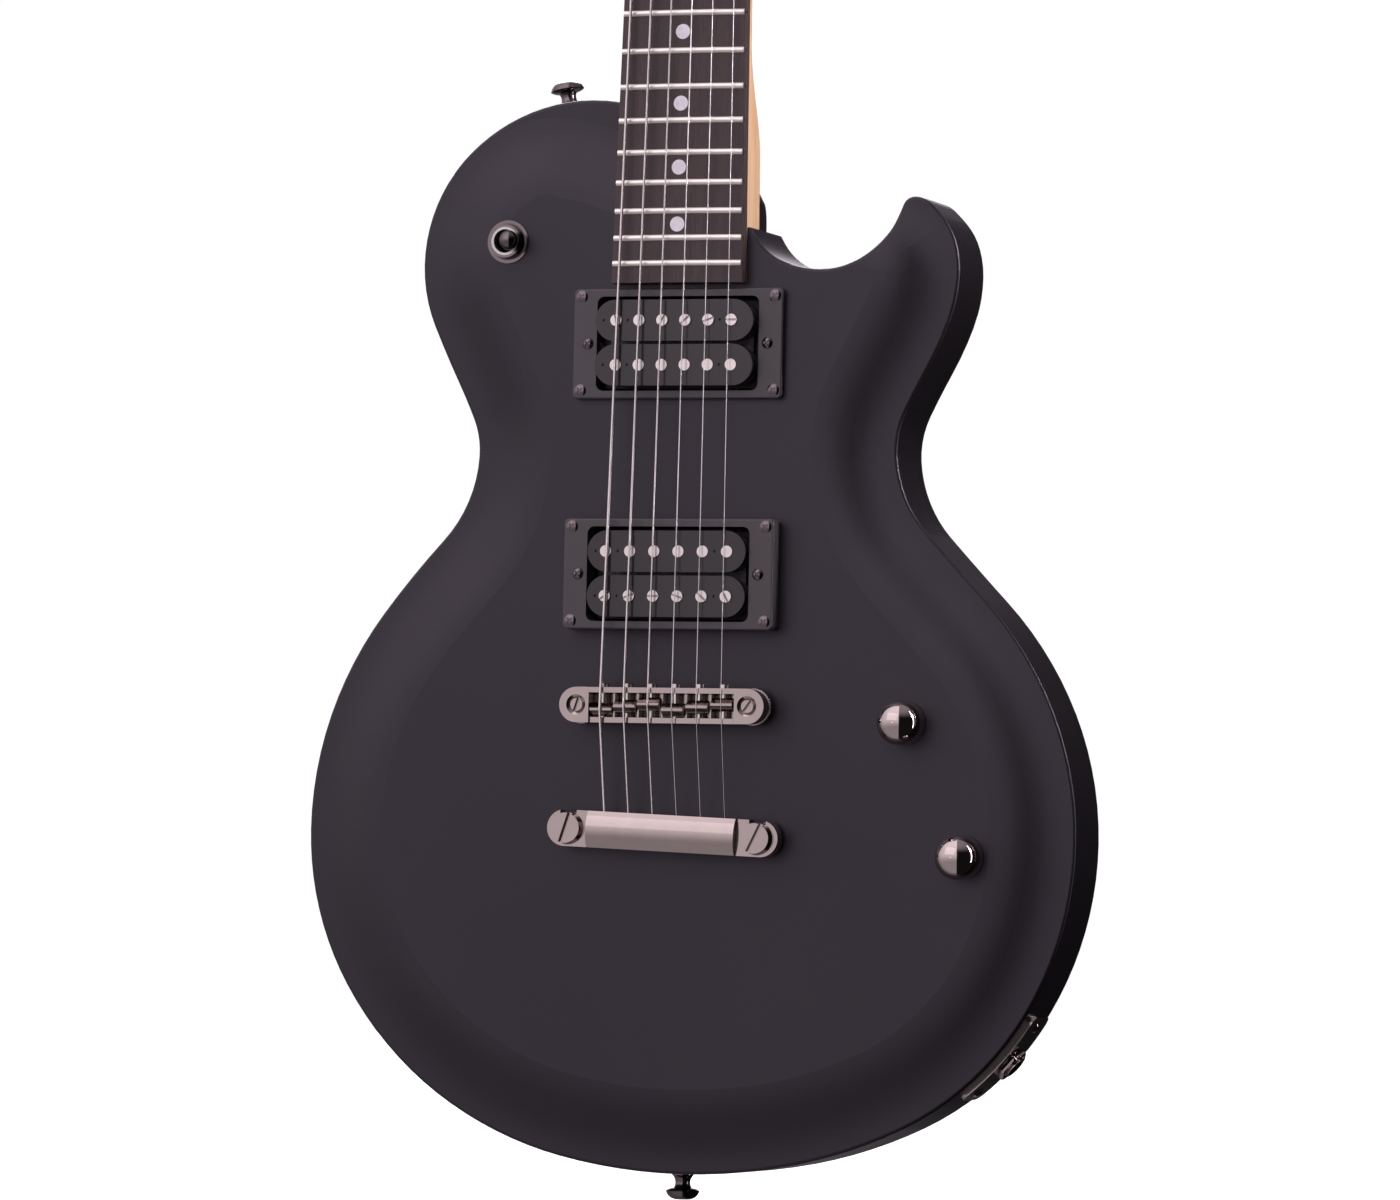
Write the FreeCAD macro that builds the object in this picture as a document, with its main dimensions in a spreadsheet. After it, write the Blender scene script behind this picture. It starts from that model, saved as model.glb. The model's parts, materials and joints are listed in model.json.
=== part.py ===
import FreeCAD, Part
import math
import os

from FreeCAD import Placement, Rotation, Vector

# Electric guitar: single-cutaway solid body, bolt-on neck, two humbucking pickups,
# bridge and stop bar, volume, tone and pickup switch.
#
# Every sub-part is drawn in "bridge coordinates": +X towards the treble side, +Y towards
# the back, +Z up the neck, with Z = 0 at the theoretical end of the scale and Y = 0 on the
# flat part of the body's top.  The finished sub-parts are then lowered by hanger_height, so
# that the part's own origin is the point below the headstock where a wall hanger holds it.
# Sub-parts of the neck are drawn in the neck's own frame, and those of the headstock in the
# headstock's, and each is turned into place by its Placement.

doc = FreeCAD.newDocument("electric_guitar")

DRIVING_SIZES = [
    ("scale_length", 628.65, "from the nut to the theoretical end of the strings"),
    ("hanger_height", 642.0, "from the end of the scale up to the wall hanger's arms"),
    ("body_depth", 44.0, "from the flat of the top to the back"),
    ("arch_drop", 6.5, "fall of the arched top at the rim"),
    ("arch_width", 36.0, "width of the arched band inside the rim"),
    ("front_edge_radius", 1.5, "rounding of the body's front edge"),
    ("back_edge_radius", 4.5, "rounding of the body's back edge"),
    ("neck_angle", 1.47, "backward lean of the neck, degrees"),
    ("head_angle", 12.0, "further lean of the headstock, degrees"),
    ("fret_count", 22, "number of frets"),
    ("board_thickness", 7.0, "fretboard thickness on the centre line"),
    ("board_radius", 305.0, "radius of the fretboard's curved top"),
    ("board_drop", 0.5, "height of the fretboard's underside above the top at the last fret"),
    ("board_overhang", 8.0, "fretboard beyond the last fret"),
    ("nut_width", 42.0, "fretboard width at the nut"),
    ("last_fret_width", 56.4, "fretboard width at the last fret"),
    ("nut_length", 5.0, "thickness of the nut along the neck"),
    ("heel_depth", 18.0, "depth of the neck's heel under the fretboard"),
    ("head_thickness", 14.5, "thickness of the headstock"),
    ("string_spread", 52.2, "first to sixth string at the bridge"),
    ("nut_spread", 35.5, "first to sixth string at the nut"),
    ("string_height", 15.6, "underside of the middle strings above the top at the bridge"),
    ("bridge_line", -5.4, "Z of the bridge's posts"),
    ("bridge_post_spacing", 74.0, "centre to centre of the bridge's posts"),
    ("bridge_top", 13.9, "top of the bridge above the body's top"),
    ("bridge_width", 14.5, "bridge width along the strings"),
    ("post_diameter", 6.2, "diameter of the bridge's posts"),
    ("tailpiece_line", -57.5, "Z of the tailpiece's middle"),
    ("tailpiece_slant", 2.1, "slant of the tailpiece, degrees"),
    ("stud_spacing", 82.0, "centre to centre of the tailpiece's studs"),
    ("stud_head_diameter", 13.8, "diameter of a tailpiece stud's head"),
    ("neck_pickup_line", 143.8, "Z of the neck pickup"),
    ("bridge_pickup_line", 48.6, "Z of the bridge pickup"),
    ("ring_length", 90.9, "pickup ring, across the strings"),
    ("ring_width", 45.5, "pickup ring, along the strings"),
    ("window_length", 70.4, "opening of a pickup ring, across the strings"),
    ("window_width", 39.0, "opening of a pickup ring, along the strings"),
    ("neck_ring_height", 3.6, "height of the neck pickup's ring"),
    ("bridge_ring_height", 9.4, "height of the bridge pickup's ring"),
    ("neck_bobbin_height", 8.3, "top of the neck pickup's bobbins above the top"),
    ("bridge_bobbin_height", 11.5, "top of the bridge pickup's bobbins above the top"),
    ("bobbin_length", 68.5, "bobbin, across the strings"),
    ("bobbin_width", 17.0, "bobbin, along the strings"),
    ("coil_pitch", 18.4, "centre to centre of a pickup's two bobbins"),
    ("pole_diameter", 4.8, "diameter of a pole piece"),
    ("knob_diameter", 18.2, "diameter of a control knob"),
    ("knob_height", 17.0, "height of a control knob above the top"),
    ("shaft_diameter", 6.0, "diameter of a potentiometer's shaft"),
    ("running_gap", 0.05, "radial clearance of a turning shaft"),
    ("control_wall", 8.0, "wood left in front of the control cavities"),
    ("cover_thickness", 2.0, "thickness of the rear covers"),
    ("switch_bushing_diameter", 11.8, "diameter of the switch's threaded bushing"),
    ("switch_rest_angle", 16.0, "lean of the switch lever at rest, degrees"),
    ("plug_hole_diameter", 6.6, "bore of the output jack"),
    ("jack_plate_length", 46.0, "length of the jack's plate"),
    ("jack_plate_width", 22.0, "width of the jack's plate"),
    ("button_diameter", 14.1, "diameter of a strap button"),
    ("tuner_post_diameter", 6.0, "diameter of a tuner's post"),
    ("tuner_pitch", 38.0, "distance between two tuners of one side"),
    ("gear_ratio", 15.0, "turns of a tuner's button for one turn of its post"),
]


def make_sheet():
    sheet = doc.addObject("Spreadsheet::Sheet", "size")
    for row, (alias, value, meaning) in enumerate(DRIVING_SIZES, start=1):
        sheet.set(f"A{row}", alias)
        sheet.set(f"B{row}", str(value))
        sheet.set(f"C{row}", meaning)
        sheet.setAlias(f"B{row}", alias)
    doc.recompute()
    return sheet


sheet = make_sheet()


def size(alias):
    return float(sheet.get(alias))


TREBLE, BACK, UP = Vector(1, 0, 0), Vector(0, 1, 0), Vector(0, 0, 1)
BASS, FRONT, DOWN = -TREBLE, -BACK, -UP
STRINGS = range(6)
EXTRA = 1.0          # how far a cutting solid reaches past the face it opens
FIT = 0.1            # gap of a loose wooden joint

# ---------------------------------------------------------------- frames and scale


def fret_place(number):
    """Distance from the last fret up to a fret, along the neck; fret 0 is the nut."""
    last = 2 ** (-size("fret_count") / 12)
    return size("scale_length") * (2 ** (-number / 12) - last)


LAST_FRET_LINE = size("scale_length") * 2 ** (-size("fret_count") / 12)
NUT_LINE = fret_place(0)
BOARD_END = -size("board_overhang")
NECK = Placement(Vector(0, -size("board_drop"), LAST_FRET_LINE),
                 Rotation(TREBLE, -size("neck_angle")))
HEAD = NECK * Placement(Vector(0, 0, NUT_LINE + size("nut_length")),
                        Rotation(TREBLE, -size("head_angle")))
BODY = Placement()


def board_width(along):
    """Width of the fretboard at a distance above the last fret."""
    share = along / NUT_LINE
    return size("last_fret_width") + share * (size("nut_width") - size("last_fret_width"))


def crown(across):
    """How far the fretboard's curved top has fallen at a distance from the centre line."""
    radius = size("board_radius")
    return radius - math.sqrt(radius * radius - across * across)


# ---------------------------------------------------------------- outlines


def heading(degrees):
    angle = math.radians(degrees)
    return Vector(math.cos(angle), math.sin(angle), 0)


def arc_from(start, direction, end):
    """The arc that leaves start along direction and reaches end."""
    chord = end - start
    normal = Vector(-direction.y, direction.x, 0)
    side = chord.dot(normal)
    if abs(side) < 1e-6 * chord.Length:
        return Part.LineSegment(start, end)
    radius = chord.dot(chord) / (2 * side)
    centre = start + normal * radius
    to_middle = (start + end) * 0.5 - centre
    to_middle.normalize()
    return Part.Arc(start, centre + to_middle * abs(radius), end)


def tangent_arcs(nodes):
    """A closed outline through (x, z, heading) nodes: two tangent arcs between neighbours."""
    outline = []
    for (x, z, angle), (next_x, next_z, next_angle) in zip(nodes, nodes[1:] + nodes[:1]):
        start, end = Vector(x, z, 0), Vector(next_x, next_z, 0)
        leave, arrive = heading(angle), heading(next_angle)
        chord = end - start
        both = leave + arrive
        bend = 2 * (1 - leave.dot(arrive))
        run = chord.dot(both)
        if bend > 1e-9:
            reach = (math.sqrt(run * run + bend * chord.dot(chord)) - run) / bend
        else:
            reach = chord.dot(chord) / (2 * run)
        joint = (start + leave * reach + end - arrive * reach) * 0.5
        first = joint - start
        first.normalize()
        turned = first * (2 * leave.dot(first)) - leave
        outline += [arc_from(start, leave, joint), arc_from(joint, turned, end)]
    return outline


def circle(x, z, radius):
    return [Part.Circle(Vector(x, z, 0), Vector(0, 0, 1), radius)]


def polygon(points):
    corners = [Vector(x, z, 0) for x, z in points]
    return [Part.LineSegment(a, b) for a, b in zip(corners, corners[1:] + corners[:1])]


def rounded_box(x, z, width, height, radius):
    """A rectangle centred on x, z with rounded corners, as eight tangent pieces."""
    half_w, half_h = width / 2, height / 2
    bend = radius * (1 - math.sqrt(0.5))
    pieces = []
    for side_x, side_z in ((1, -1), (1, 1), (-1, 1), (-1, -1)):
        outer_x, outer_z = x + side_x * half_w, z + side_z * half_h
        across = Vector(outer_x - side_x * radius, outer_z, 0)
        along = Vector(outer_x, outer_z - side_z * radius, 0)
        middle = Vector(outer_x - side_x * bend, outer_z - side_z * bend, 0)
        ends = (across, along) if side_x * side_z < 0 else (along, across)
        pieces.append((ends[0], middle, ends[1]))
    outline = []
    for (start, middle, end), following in zip(pieces, pieces[1:] + pieces[:1]):
        outline.append(Part.Arc(start, middle, end))
        if (following[0] - end).Length > 1e-6:
            outline.append(Part.LineSegment(end, following[0]))
    return outline


def capsule(x, z, other_x, other_z, radius):
    """Two half circles round two points, joined by straight sides."""
    one, two = Vector(x, z, 0), Vector(other_x, other_z, 0)
    along = two - one
    along.normalize()
    side = Vector(-along.y, along.x, 0) * radius
    tip = along * radius
    return [Part.Arc(one + side, one - tip, one - side),
            Part.LineSegment(one - side, two - side),
            Part.Arc(two - side, two + tip, two + side),
            Part.LineSegment(two + side, one + side)]


def lift(point, depth=0.0):
    """A point of a front view, as a point in space."""
    return Vector(point.x, depth, point.y)


def lifted_wire(outline, depth=0.0):
    """A front-view outline as a wire in space."""
    edges = []
    for piece in outline:
        first, last = piece.FirstParameter, piece.LastParameter
        start, end = lift(piece.value(first), depth), lift(piece.value(last), depth)
        if isinstance(piece, Part.LineSegment):
            edges.append(Part.makeLine(start, end))
        else:
            middle = lift(piece.value((first + last) / 2), depth)
            edges.append(Part.Arc(start, middle, end).toShape())
    return Part.Wire(edges)


# ---------------------------------------------------------------- building blocks


def set_sizes(thing, **sizes):
    """Text is bound to the sheet as an expression; a number is set as it is."""
    for name, value in sizes.items():
        if isinstance(value, str):
            thing.setExpression(name, value)
        else:
            setattr(thing, name, value)


def facing(direction):
    return Rotation(UP, direction)


def rod(name, radius, length, start, along):
    solid = doc.addObject("Part::Cylinder", name)
    set_sizes(solid, Radius=radius, Height=length)
    solid.Placement = Placement(start, facing(along))
    return solid


def cone(name, radius, top_radius, length, start, along):
    solid = doc.addObject("Part::Cone", name)
    set_sizes(solid, Radius1=radius, Radius2=top_radius, Height=length)
    solid.Placement = Placement(start, facing(along))
    return solid


def block(name, width, depth, height, centre, turn=Rotation()):
    """A box of X, Y and Z sizes round its centre."""
    solid = doc.addObject("Part::Box", name)
    solid.Length, solid.Width, solid.Height = width, depth, height
    corner = Placement(Vector(-width / 2, -depth / 2, -height / 2), Rotation())
    solid.Placement = Placement(centre, turn) * corner
    return solid


def sketch_in(body, name, role, outline, offset=0.0):
    sketch = body.newObject("Sketcher::SketchObject", name)
    plane = [item for item in body.Origin.OriginFeatures if item.Role == role][0]
    sketch.AttachmentSupport = [(plane, "")]
    sketch.MapMode = "FlatFace"
    sketch.AttachmentOffset = Placement(Vector(0, 0, offset), Rotation())
    for piece in outline:
        sketch.addGeometry(piece, False)
    return sketch


def plate(name, outline, thickness, front=0.0, where=Placement()):
    """A padded front-view outline; its front face lies at Y = front."""
    body = doc.addObject("PartDesign::Body", name)
    sketch = sketch_in(body, name + "_outline", "XZ_Plane", outline, -front)
    pad = body.newObject("PartDesign::Pad", name + "_pad")
    pad.Profile = sketch
    pad.Reversed = True
    set_sizes(pad, Length=thickness)
    body.Placement = where
    return body


def turned(name, profile, start, along):
    """A profile of (radius, height) turned about the line from start along a direction."""
    body = doc.addObject("PartDesign::Body", name)
    sketch = sketch_in(body, name + "_profile", "XZ_Plane", profile)
    turn = body.newObject("PartDesign::Revolution", name + "_turn")
    turn.Profile = sketch
    turn.ReferenceAxis = (sketch, ["V_Axis"])
    turn.Angle = 360
    body.Placement = Placement(start, facing(along))
    return body


def soften(body, radius, wanted):
    """Round the edges of a body's last feature that wanted(edge) picks."""
    doc.recompute()
    base = body.Tip
    names = [f"Edge{number}" for number, edge in enumerate(base.Shape.Edges, start=1)
             if wanted(edge)]
    fillet = body.newObject("PartDesign::Fillet", body.Name + f"_round_{len(body.Group)}")
    fillet.Base = (base, names)
    fillet.Radius = radius
    return body


def cut(name, base, tools):
    result = doc.addObject("Part::Cut", name)
    result.Base = base
    result.Tool = tools[0] if len(tools) == 1 else fuse(name + "_tools", tools)
    return result


def fuse(name, pieces):
    result = doc.addObject("Part::MultiFuse", name)
    result.Shapes = pieces
    return result


def common(name, one, other):
    result = doc.addObject("Part::Common", name)
    result.Base, result.Tool = one, other
    return result


def group(name, pieces):
    """Separate solids that share one node."""
    result = doc.addObject("Part::Compound", name)
    result.Links = pieces
    return result


def shaped(name, shape):
    """A solid whose shape is worked out here, for lofts and sweeps."""
    result = doc.addObject("Part::Feature", name)
    result.Shape = shape
    return result


def round_section(point, direction, radius):
    return Part.Wire([Part.makeCircle(radius, point, direction)])


def rounded_path(points, bend):
    """Straight runs through the points, with a tangent arc at each inner point."""
    edges = []
    start = points[0]
    for before, corner, after in zip(points, points[1:], points[2:]):
        back, ahead = before - corner, after - corner
        room = 0.45 * min(back.Length, ahead.Length)
        back.normalize()
        ahead.normalize()
        half_turn = (math.pi - back.getAngle(ahead)) / 2
        if half_turn < 1e-4:
            continue
        setback = min(bend * math.tan(half_turn), room)
        radius = setback / math.tan(half_turn)
        inward = back + ahead
        inward.normalize()
        enter, leave = corner + back * setback, corner + ahead * setback
        top = corner + inward * (radius / math.cos(half_turn) - radius)
        edges.append(Part.makeLine(start, enter))
        edges.append(Part.Arc(enter, top, leave).toShape())
        start = leave
    edges.append(Part.makeLine(start, points[-1]))
    return Part.Wire(edges)


def tube(points, radius, bend):
    path = rounded_path(points, bend)
    section = round_section(points[0], points[1] - points[0], radius)
    return path.makePipeShell([section], True, False)


nodes = []


def finish(thing, label, frame=BODY):
    """Name a sub-part and put it where it belongs in the part's own frame."""
    thing.Label = label
    thing.Placement = frame * thing.Placement
    base = thing.Placement.Base
    thing.Placement.Base = Vector(base.x, base.y, base.z - size("hanger_height"))
    thing.setExpression("Placement.Base.z", f"{base.z} - size.hanger_height")
    nodes.append(thing)
    return thing


# ---------------------------------------------------------------- places of the hardware

BRIDGE_POSTS = [Vector(side * size("bridge_post_spacing") / 2, 0, size("bridge_line"))
                for side in (-1, 1)]
TAIL = Placement(Vector(0, 0, size("tailpiece_line")), Rotation(BACK, size("tailpiece_slant")))
STUDS = [TAIL.multVec(Vector(side * size("stud_spacing") / 2, 0, 0)) for side in (-1, 1)]
PICKUPS = {"neck": (size("neck_pickup_line"), size("neck_ring_height"),
                    size("neck_bobbin_height"), 10.0, 1),
           "bridge": (size("bridge_pickup_line"), size("bridge_ring_height"),
                      size("bridge_bobbin_height"), 10.5, -1)}
VOLUME, TONE = Vector(100.2, 0, -11), Vector(125.9, 0, -65)
SWITCH = Vector(-76.4, 0, 186.6)
CONTROL_TOP, CONTROL_BOTTOM, CONTROL_RADIUS = (101, -8), (122, -94), 24.0
SWITCH_CAVITY_RADIUS = 22.0
COVER_LAP = 5.5
CONTROL_SCREWS = [(CONTROL_TOP, 45), (CONTROL_TOP, 190),
                  (CONTROL_BOTTOM, 10), (CONTROL_BOTTOM, 225)]
SWITCH_SCREWS = [((SWITCH.x, SWITCH.z), angle) for angle in (90, 210, 330)]
COVER_SCREW_INSET = 2.4
RING_SCREWS = [Vector(x, 0, z) for x in (-42.0, 42.0) for z in (-19.4, 19.4)]
HEIGHT_SCREWS = [Vector(x, 0, 0) for x in (-39.0, 39.0)]
HEEL_PLATE = Vector(-5.0, 0, 183.0)
NECK_SCREWS = [HEEL_PLATE + Vector(x, 0, z) for x in (-15.5, 15.5) for z in (-17.5, 17.5)]
BUTTON_DEPTH = 26.0
BUTTONS = [(Vector(0.2, BUTTON_DEPTH, -197.0), DOWN),
           (Vector(-60, BUTTON_DEPTH, 245.2), Vector(-0.19, 0, 0.98))]
JACK_DEPTH = 26.0
JACK_ANGLE = -41.5
WIRE_DEPTH = 16.0

# ---------------------------------------------------------------- body

OUTLINE = [(5, -197, 0), (100, -176, 26), (171.5, -58, 90), (131, 40, 134), (92.5, 98, 94),
           (105, 134, 61), (117.5, 174, 90), (110, 196, 131), (98, 204.5, 176),
           (90, 194, 248), (60, 174.5, 180), (31, 189, 120), (-4, 236, 153),
           (-49, 246, 184), (-116.5, 178, 270), (-99.5, 128, 297), (-90, 98, 267),
           (-131, 32, 233), (-161.5, -58, 270), (-96, -171, 328)]
# The arched band runs round the body as if the horn were not cut away.
ARCH_LINE = OUTLINE[:6] + [(117.5, 172, 90), (93, 207, 160), (30, 222, 176),
                           (-20, 231, 160), (-80, 236, 206)] + OUTLINE[14:]
LOWER_RIGHT_ARC = 2          # the outline's piece that carries the output jack


def jack_frame():
    """Centre of the rim's arc at the jack, the arc's radius and the outward direction."""
    edge = lifted_wire(tangent_arcs(OUTLINE)).Edges[LOWER_RIGHT_ARC]
    angle = math.radians(JACK_ANGLE)
    outward = Vector(math.cos(angle), 0, math.sin(angle))
    centre = Vector(edge.Curve.Center.x, JACK_DEPTH, edge.Curve.Center.z)
    return centre, edge.Curve.Radius, outward


JACK_CENTRE, JACK_RIM_RADIUS, JACK_OUT = jack_frame()
JACK = JACK_CENTRE + JACK_OUT * JACK_RIM_RADIUS


def arch_profile(start, inward):
    """The wood above the arched band, at one point of the rim: an S of two arcs."""
    width, drop = size("arch_width"), size("arch_drop")
    bite = 0.02               # the S starts this far in front of the flat
    flank = 12.0
    ledge = size("front_edge_radius") + 0.1      # flat that the edge's rounding uses up
    run = width - ledge
    radius = (run * run + drop * drop) / (4 * drop)
    half = math.asin(run / 2 / radius) / 2

    def at(depth, inside):
        return start + BACK * (depth - bite) + inward * inside

    inner, outer, middle = at(0, width), at(drop, ledge), at(drop / 2, ledge + run / 2)
    sag, along = radius * (1 - math.cos(half)), radius * math.sin(half)
    corner, far, near = at(drop, -flank), at(-EXTRA, -flank), at(-EXTRA, width)
    return Part.Wire([Part.Arc(inner, at(sag, width - along), middle).toShape(),
                      Part.Arc(middle, at(drop - sag, ledge + along), outer).toShape(),
                      Part.makeLine(outer, corner), Part.makeLine(corner, far),
                      Part.makeLine(far, near), Part.makeLine(near, inner)])


def arch_cutter():
    """The profile turned about the centre of each arc of the arch's line in turn."""
    wedges = []
    for edge in lifted_wire(tangent_arcs(ARCH_LINE)).Edges:
        start = edge.valueAt(edge.FirstParameter)
        along = edge.tangentAt(edge.FirstParameter)
        inward = FRONT.cross(along)
        if inward.dot(edge.Curve.Center - start) > 0:
            axis = FRONT
        else:
            axis = BACK
        sweep = math.degrees(edge.LastParameter - edge.FirstParameter)
        face = Part.Face(arch_profile(start, inward))
        wedges.append(face.revolve(edge.Curve.Center, axis, sweep))
    return shaped("arch_cutter", wedges[0].multiFuse(wedges[1:]))


def rounded_edge(name, base, radius, wanted):
    """Round the whole chain of tangent edges that holds the first wanted edge."""
    doc.recompute()
    number = next(place for place, edge in enumerate(base.Shape.Edges, start=1)
                  if wanted(edge))
    fillet = doc.addObject("Part::Fillet", name)
    fillet.Base = base
    fillet.Edges = [(number, radius, radius)]
    return fillet


def carved_blank():
    slab = plate("body_slab", tangent_arcs(OUTLINE), "size.body_depth")
    carved = cut("body_carved", slab, [arch_cutter()])
    depth, drop = size("body_depth"), size("arch_drop")
    backed = rounded_edge("body_back_rounded", carved, size("back_edge_radius"),
                          lambda edge: edge.BoundBox.YMin > depth - 0.01)
    return rounded_edge("body_front_rounded", backed, size("front_edge_radius"),
                        lambda edge: abs(edge.BoundBox.YMax - drop) < 0.1
                        and edge.BoundBox.YLength < 0.01
                        and edge.BoundBox.ZMin < -190)


def heel_outline(gap):
    """Front view of the neck's heel in the neck's frame, wider by gap all round."""
    low, high = BOARD_END - gap, 130.0
    left, right = board_width(low) / 2 + gap, board_width(high) / 2 + gap
    return polygon([(-left, low), (left, low), (right, high), (-right, high)])


def pickup_routs():
    routs = []
    for name, (line, *_) in PICKUPS.items():
        routs.append(plate(f"{name}_rout", rounded_box(0, line, 72, 40.5, 4), 23, -EXTRA))
        routs.append(plate(f"{name}_leg_rout", rounded_box(0, line, 88, 17, 4), 23, -EXTRA))
    return routs


def capsule_of(radius):
    return capsule(*CONTROL_TOP, *CONTROL_BOTTOM, radius)


def control_cavities():
    """Cavities opened from the back, each with a shallow seat for its cover."""
    depth, wall = size("body_depth"), size("control_wall")
    seat = depth - size("cover_thickness")
    hollow, shallow = depth - wall + EXTRA, size("cover_thickness") + EXTRA
    cavity_radius, seat_radius = SWITCH_CAVITY_RADIUS, SWITCH_CAVITY_RADIUS + COVER_LAP
    return [plate("control_cavity", capsule_of(CONTROL_RADIUS), hollow, wall),
            plate("control_seat", capsule_of(CONTROL_RADIUS + COVER_LAP), shallow, seat),
            plate("switch_cavity", circle(SWITCH.x, SWITCH.z, cavity_radius), hollow, wall),
            plate("switch_seat", circle(SWITCH.x, SWITCH.z, seat_radius), shallow, seat)]


def channel(name, start, end, radius):
    return rod(name, radius, (end - start).Length, start, end - start)


def wire_channels():
    """Drilled ways for the wires: switch to neck pickup to bridge pickup to controls."""
    def at(x, z):
        return Vector(x, WIRE_DEPTH, z)
    return [channel("switch_channel", at(-70, 180), at(-25, 150), 4),
            channel("pickup_channel", at(20, 135), at(20, 55), 4),
            channel("control_channel", at(20, 45), at(90, -5), 4)]


def hole_drills():
    """Everything drilled from the front: bushings, controls and ring screws."""
    top = -EXTRA
    drills = []
    for number, post in enumerate(BRIDGE_POSTS + STUDS, start=1):
        drills.append(rod(f"bushing_drill_{number}", 5.5, 25.0, post + BACK * top, BACK))
    for name, place in (("volume", VOLUME), ("tone", TONE)):
        drills.append(rod(f"{name}_drill", 3.95, 10.0, place + BACK * top, BACK))
    drills.append(rod("switch_drill", 6.0, 10.0, SWITCH + BACK * top, BACK))
    for name, (line, *_) in PICKUPS.items():
        for number, screw in enumerate(RING_SCREWS, start=1):
            start = screw + Vector(0, top, line)
            drills.append(rod(f"{name}_ring_drill_{number}", 1.1, 12.0, start, BACK))
    return drills


def back_drills():
    depth = size("body_depth")
    drills = []
    for number, screw in enumerate(NECK_SCREWS, start=1):
        start = Vector(screw.x, depth + EXTRA, screw.z)
        drills.append(rod(f"neck_drill_{number}", 2.3, 40.0, start, FRONT))
    for number, (x, z) in enumerate(all_cover_screws(), start=1):
        start = Vector(x, depth - size("cover_thickness") + EXTRA, z)
        drills.append(rod(f"cover_drill_{number}", 1.25, 11.0, start, FRONT))
    return drills


def cover_screw_places(screws, cavity_radius):
    """Screws of a rear cover: (x, z) points just outside the cavity's round end."""
    radius = cavity_radius + COVER_SCREW_INSET
    return [(x + radius * math.cos(math.radians(angle)),
             z + radius * math.sin(math.radians(angle))) for (x, z), angle in screws]


def all_cover_screws():
    return (cover_screw_places(CONTROL_SCREWS, CONTROL_RADIUS)
            + cover_screw_places(SWITCH_SCREWS, SWITCH_CAVITY_RADIUS))


def jack_screw_places():
    """The two screws of the jack's plate: a point on the rim and its outward direction."""
    places = []
    for side in (-1, 1):
        angle = math.radians(JACK_ANGLE) + side * 18.0 / JACK_RIM_RADIUS
        outward = Vector(math.cos(angle), 0, math.sin(angle))
        places.append((JACK_CENTRE + outward * JACK_RIM_RADIUS, outward))
    return places


def side_drills():
    drills = [rod("jack_bore", 10.0, 56.0, JACK + JACK_OUT * EXTRA, -JACK_OUT)]
    for number, (place, outward) in enumerate(jack_screw_places(), start=1):
        drills.append(rod(f"jack_screw_drill_{number}", 1.25, 13.0, place + outward, -outward))
    for number, (place, outward) in enumerate(BUTTONS, start=1):
        unit = Vector(outward).normalize()
        drills.append(rod(f"button_drill_{number}", 2.0, 27.0, place + unit, -unit))
    return drills


def make_body():
    pocket = plate("neck_pocket", heel_outline(FIT), 30 + size("heel_depth"), -30.0, NECK)
    blunt = block("pocket_blunt_end", 8.0, 100.0, 60.0, Vector(25.6, 20.0, 191.7 + 30.0))
    cavities = control_cavities() + pickup_routs() + [pocket, blunt]
    drills = wire_channels() + hole_drills() + back_drills() + side_drills()
    finish(cut("body", carved_blank(), cavities + drills), "body")


# ---------------------------------------------------------------- neck

TRUSS_ROD_DEPTH = 6.0
TRUSS_ROD_START = 20.0
HEAD_OUTLINE = [(0, -12, 0), (21, -1, 82), (26, 16, 62), (38, 42, 90), (30, 150, 92),
                (0, 182, 180), (-30, 150, 268), (-38, 42, 270), (-26, 16, 298),
                (-21, -1, 278)]
TUNERS = [(side, number) for side in (-1, 1) for number in range(3)]


def tuner_place(side, number):
    """Where a tuner's post crosses the headstock's front face, in the headstock's frame."""
    along = 42.0 + number * size("tuner_pitch")
    return Vector(side * (24.0 - 1.5 * number), 0, along)


def neck_section(along, depth, side_run, flat):
    """Cross-section of the shaft: straight sides, a quarter ellipse each side and a flat."""
    half = board_width(along) / 2
    flat_half = half * flat
    run = depth * side_run
    pieces = []

    def at(x, y):
        return Vector(x, y, along)

    def quarter(sign):
        width, height = half - flat_half, depth - run
        top, low = at(sign * half, run), at(sign * flat_half, depth)
        centre = at(sign * flat_half, run)
        if width >= height:
            ellipse = Part.Ellipse(centre + TREBLE * (sign * width),
                                   centre + BACK * height, centre)
        else:
            ellipse = Part.Ellipse(centre + BACK * height,
                                   centre + TREBLE * (sign * width), centre)
        one, two = ellipse.parameter(top), ellipse.parameter(low)
        if (two - one) % (2 * math.pi) > math.pi:
            one, two = two, one
        return ellipse.toShape(one, two if two > one else two + 2 * math.pi)

    pieces.append(Part.makeLine(at(-half, 0), at(half, 0)))
    pieces.append(Part.makeLine(at(half, 0), at(half, run)))
    pieces.append(quarter(1))
    pieces.append(Part.makeLine(at(flat_half, depth), at(-flat_half, depth)))
    pieces.append(quarter(-1))
    pieces.append(Part.makeLine(at(-half, run), at(-half, 0)))
    return Part.Wire(Part.sortEdges(pieces)[0])


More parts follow.
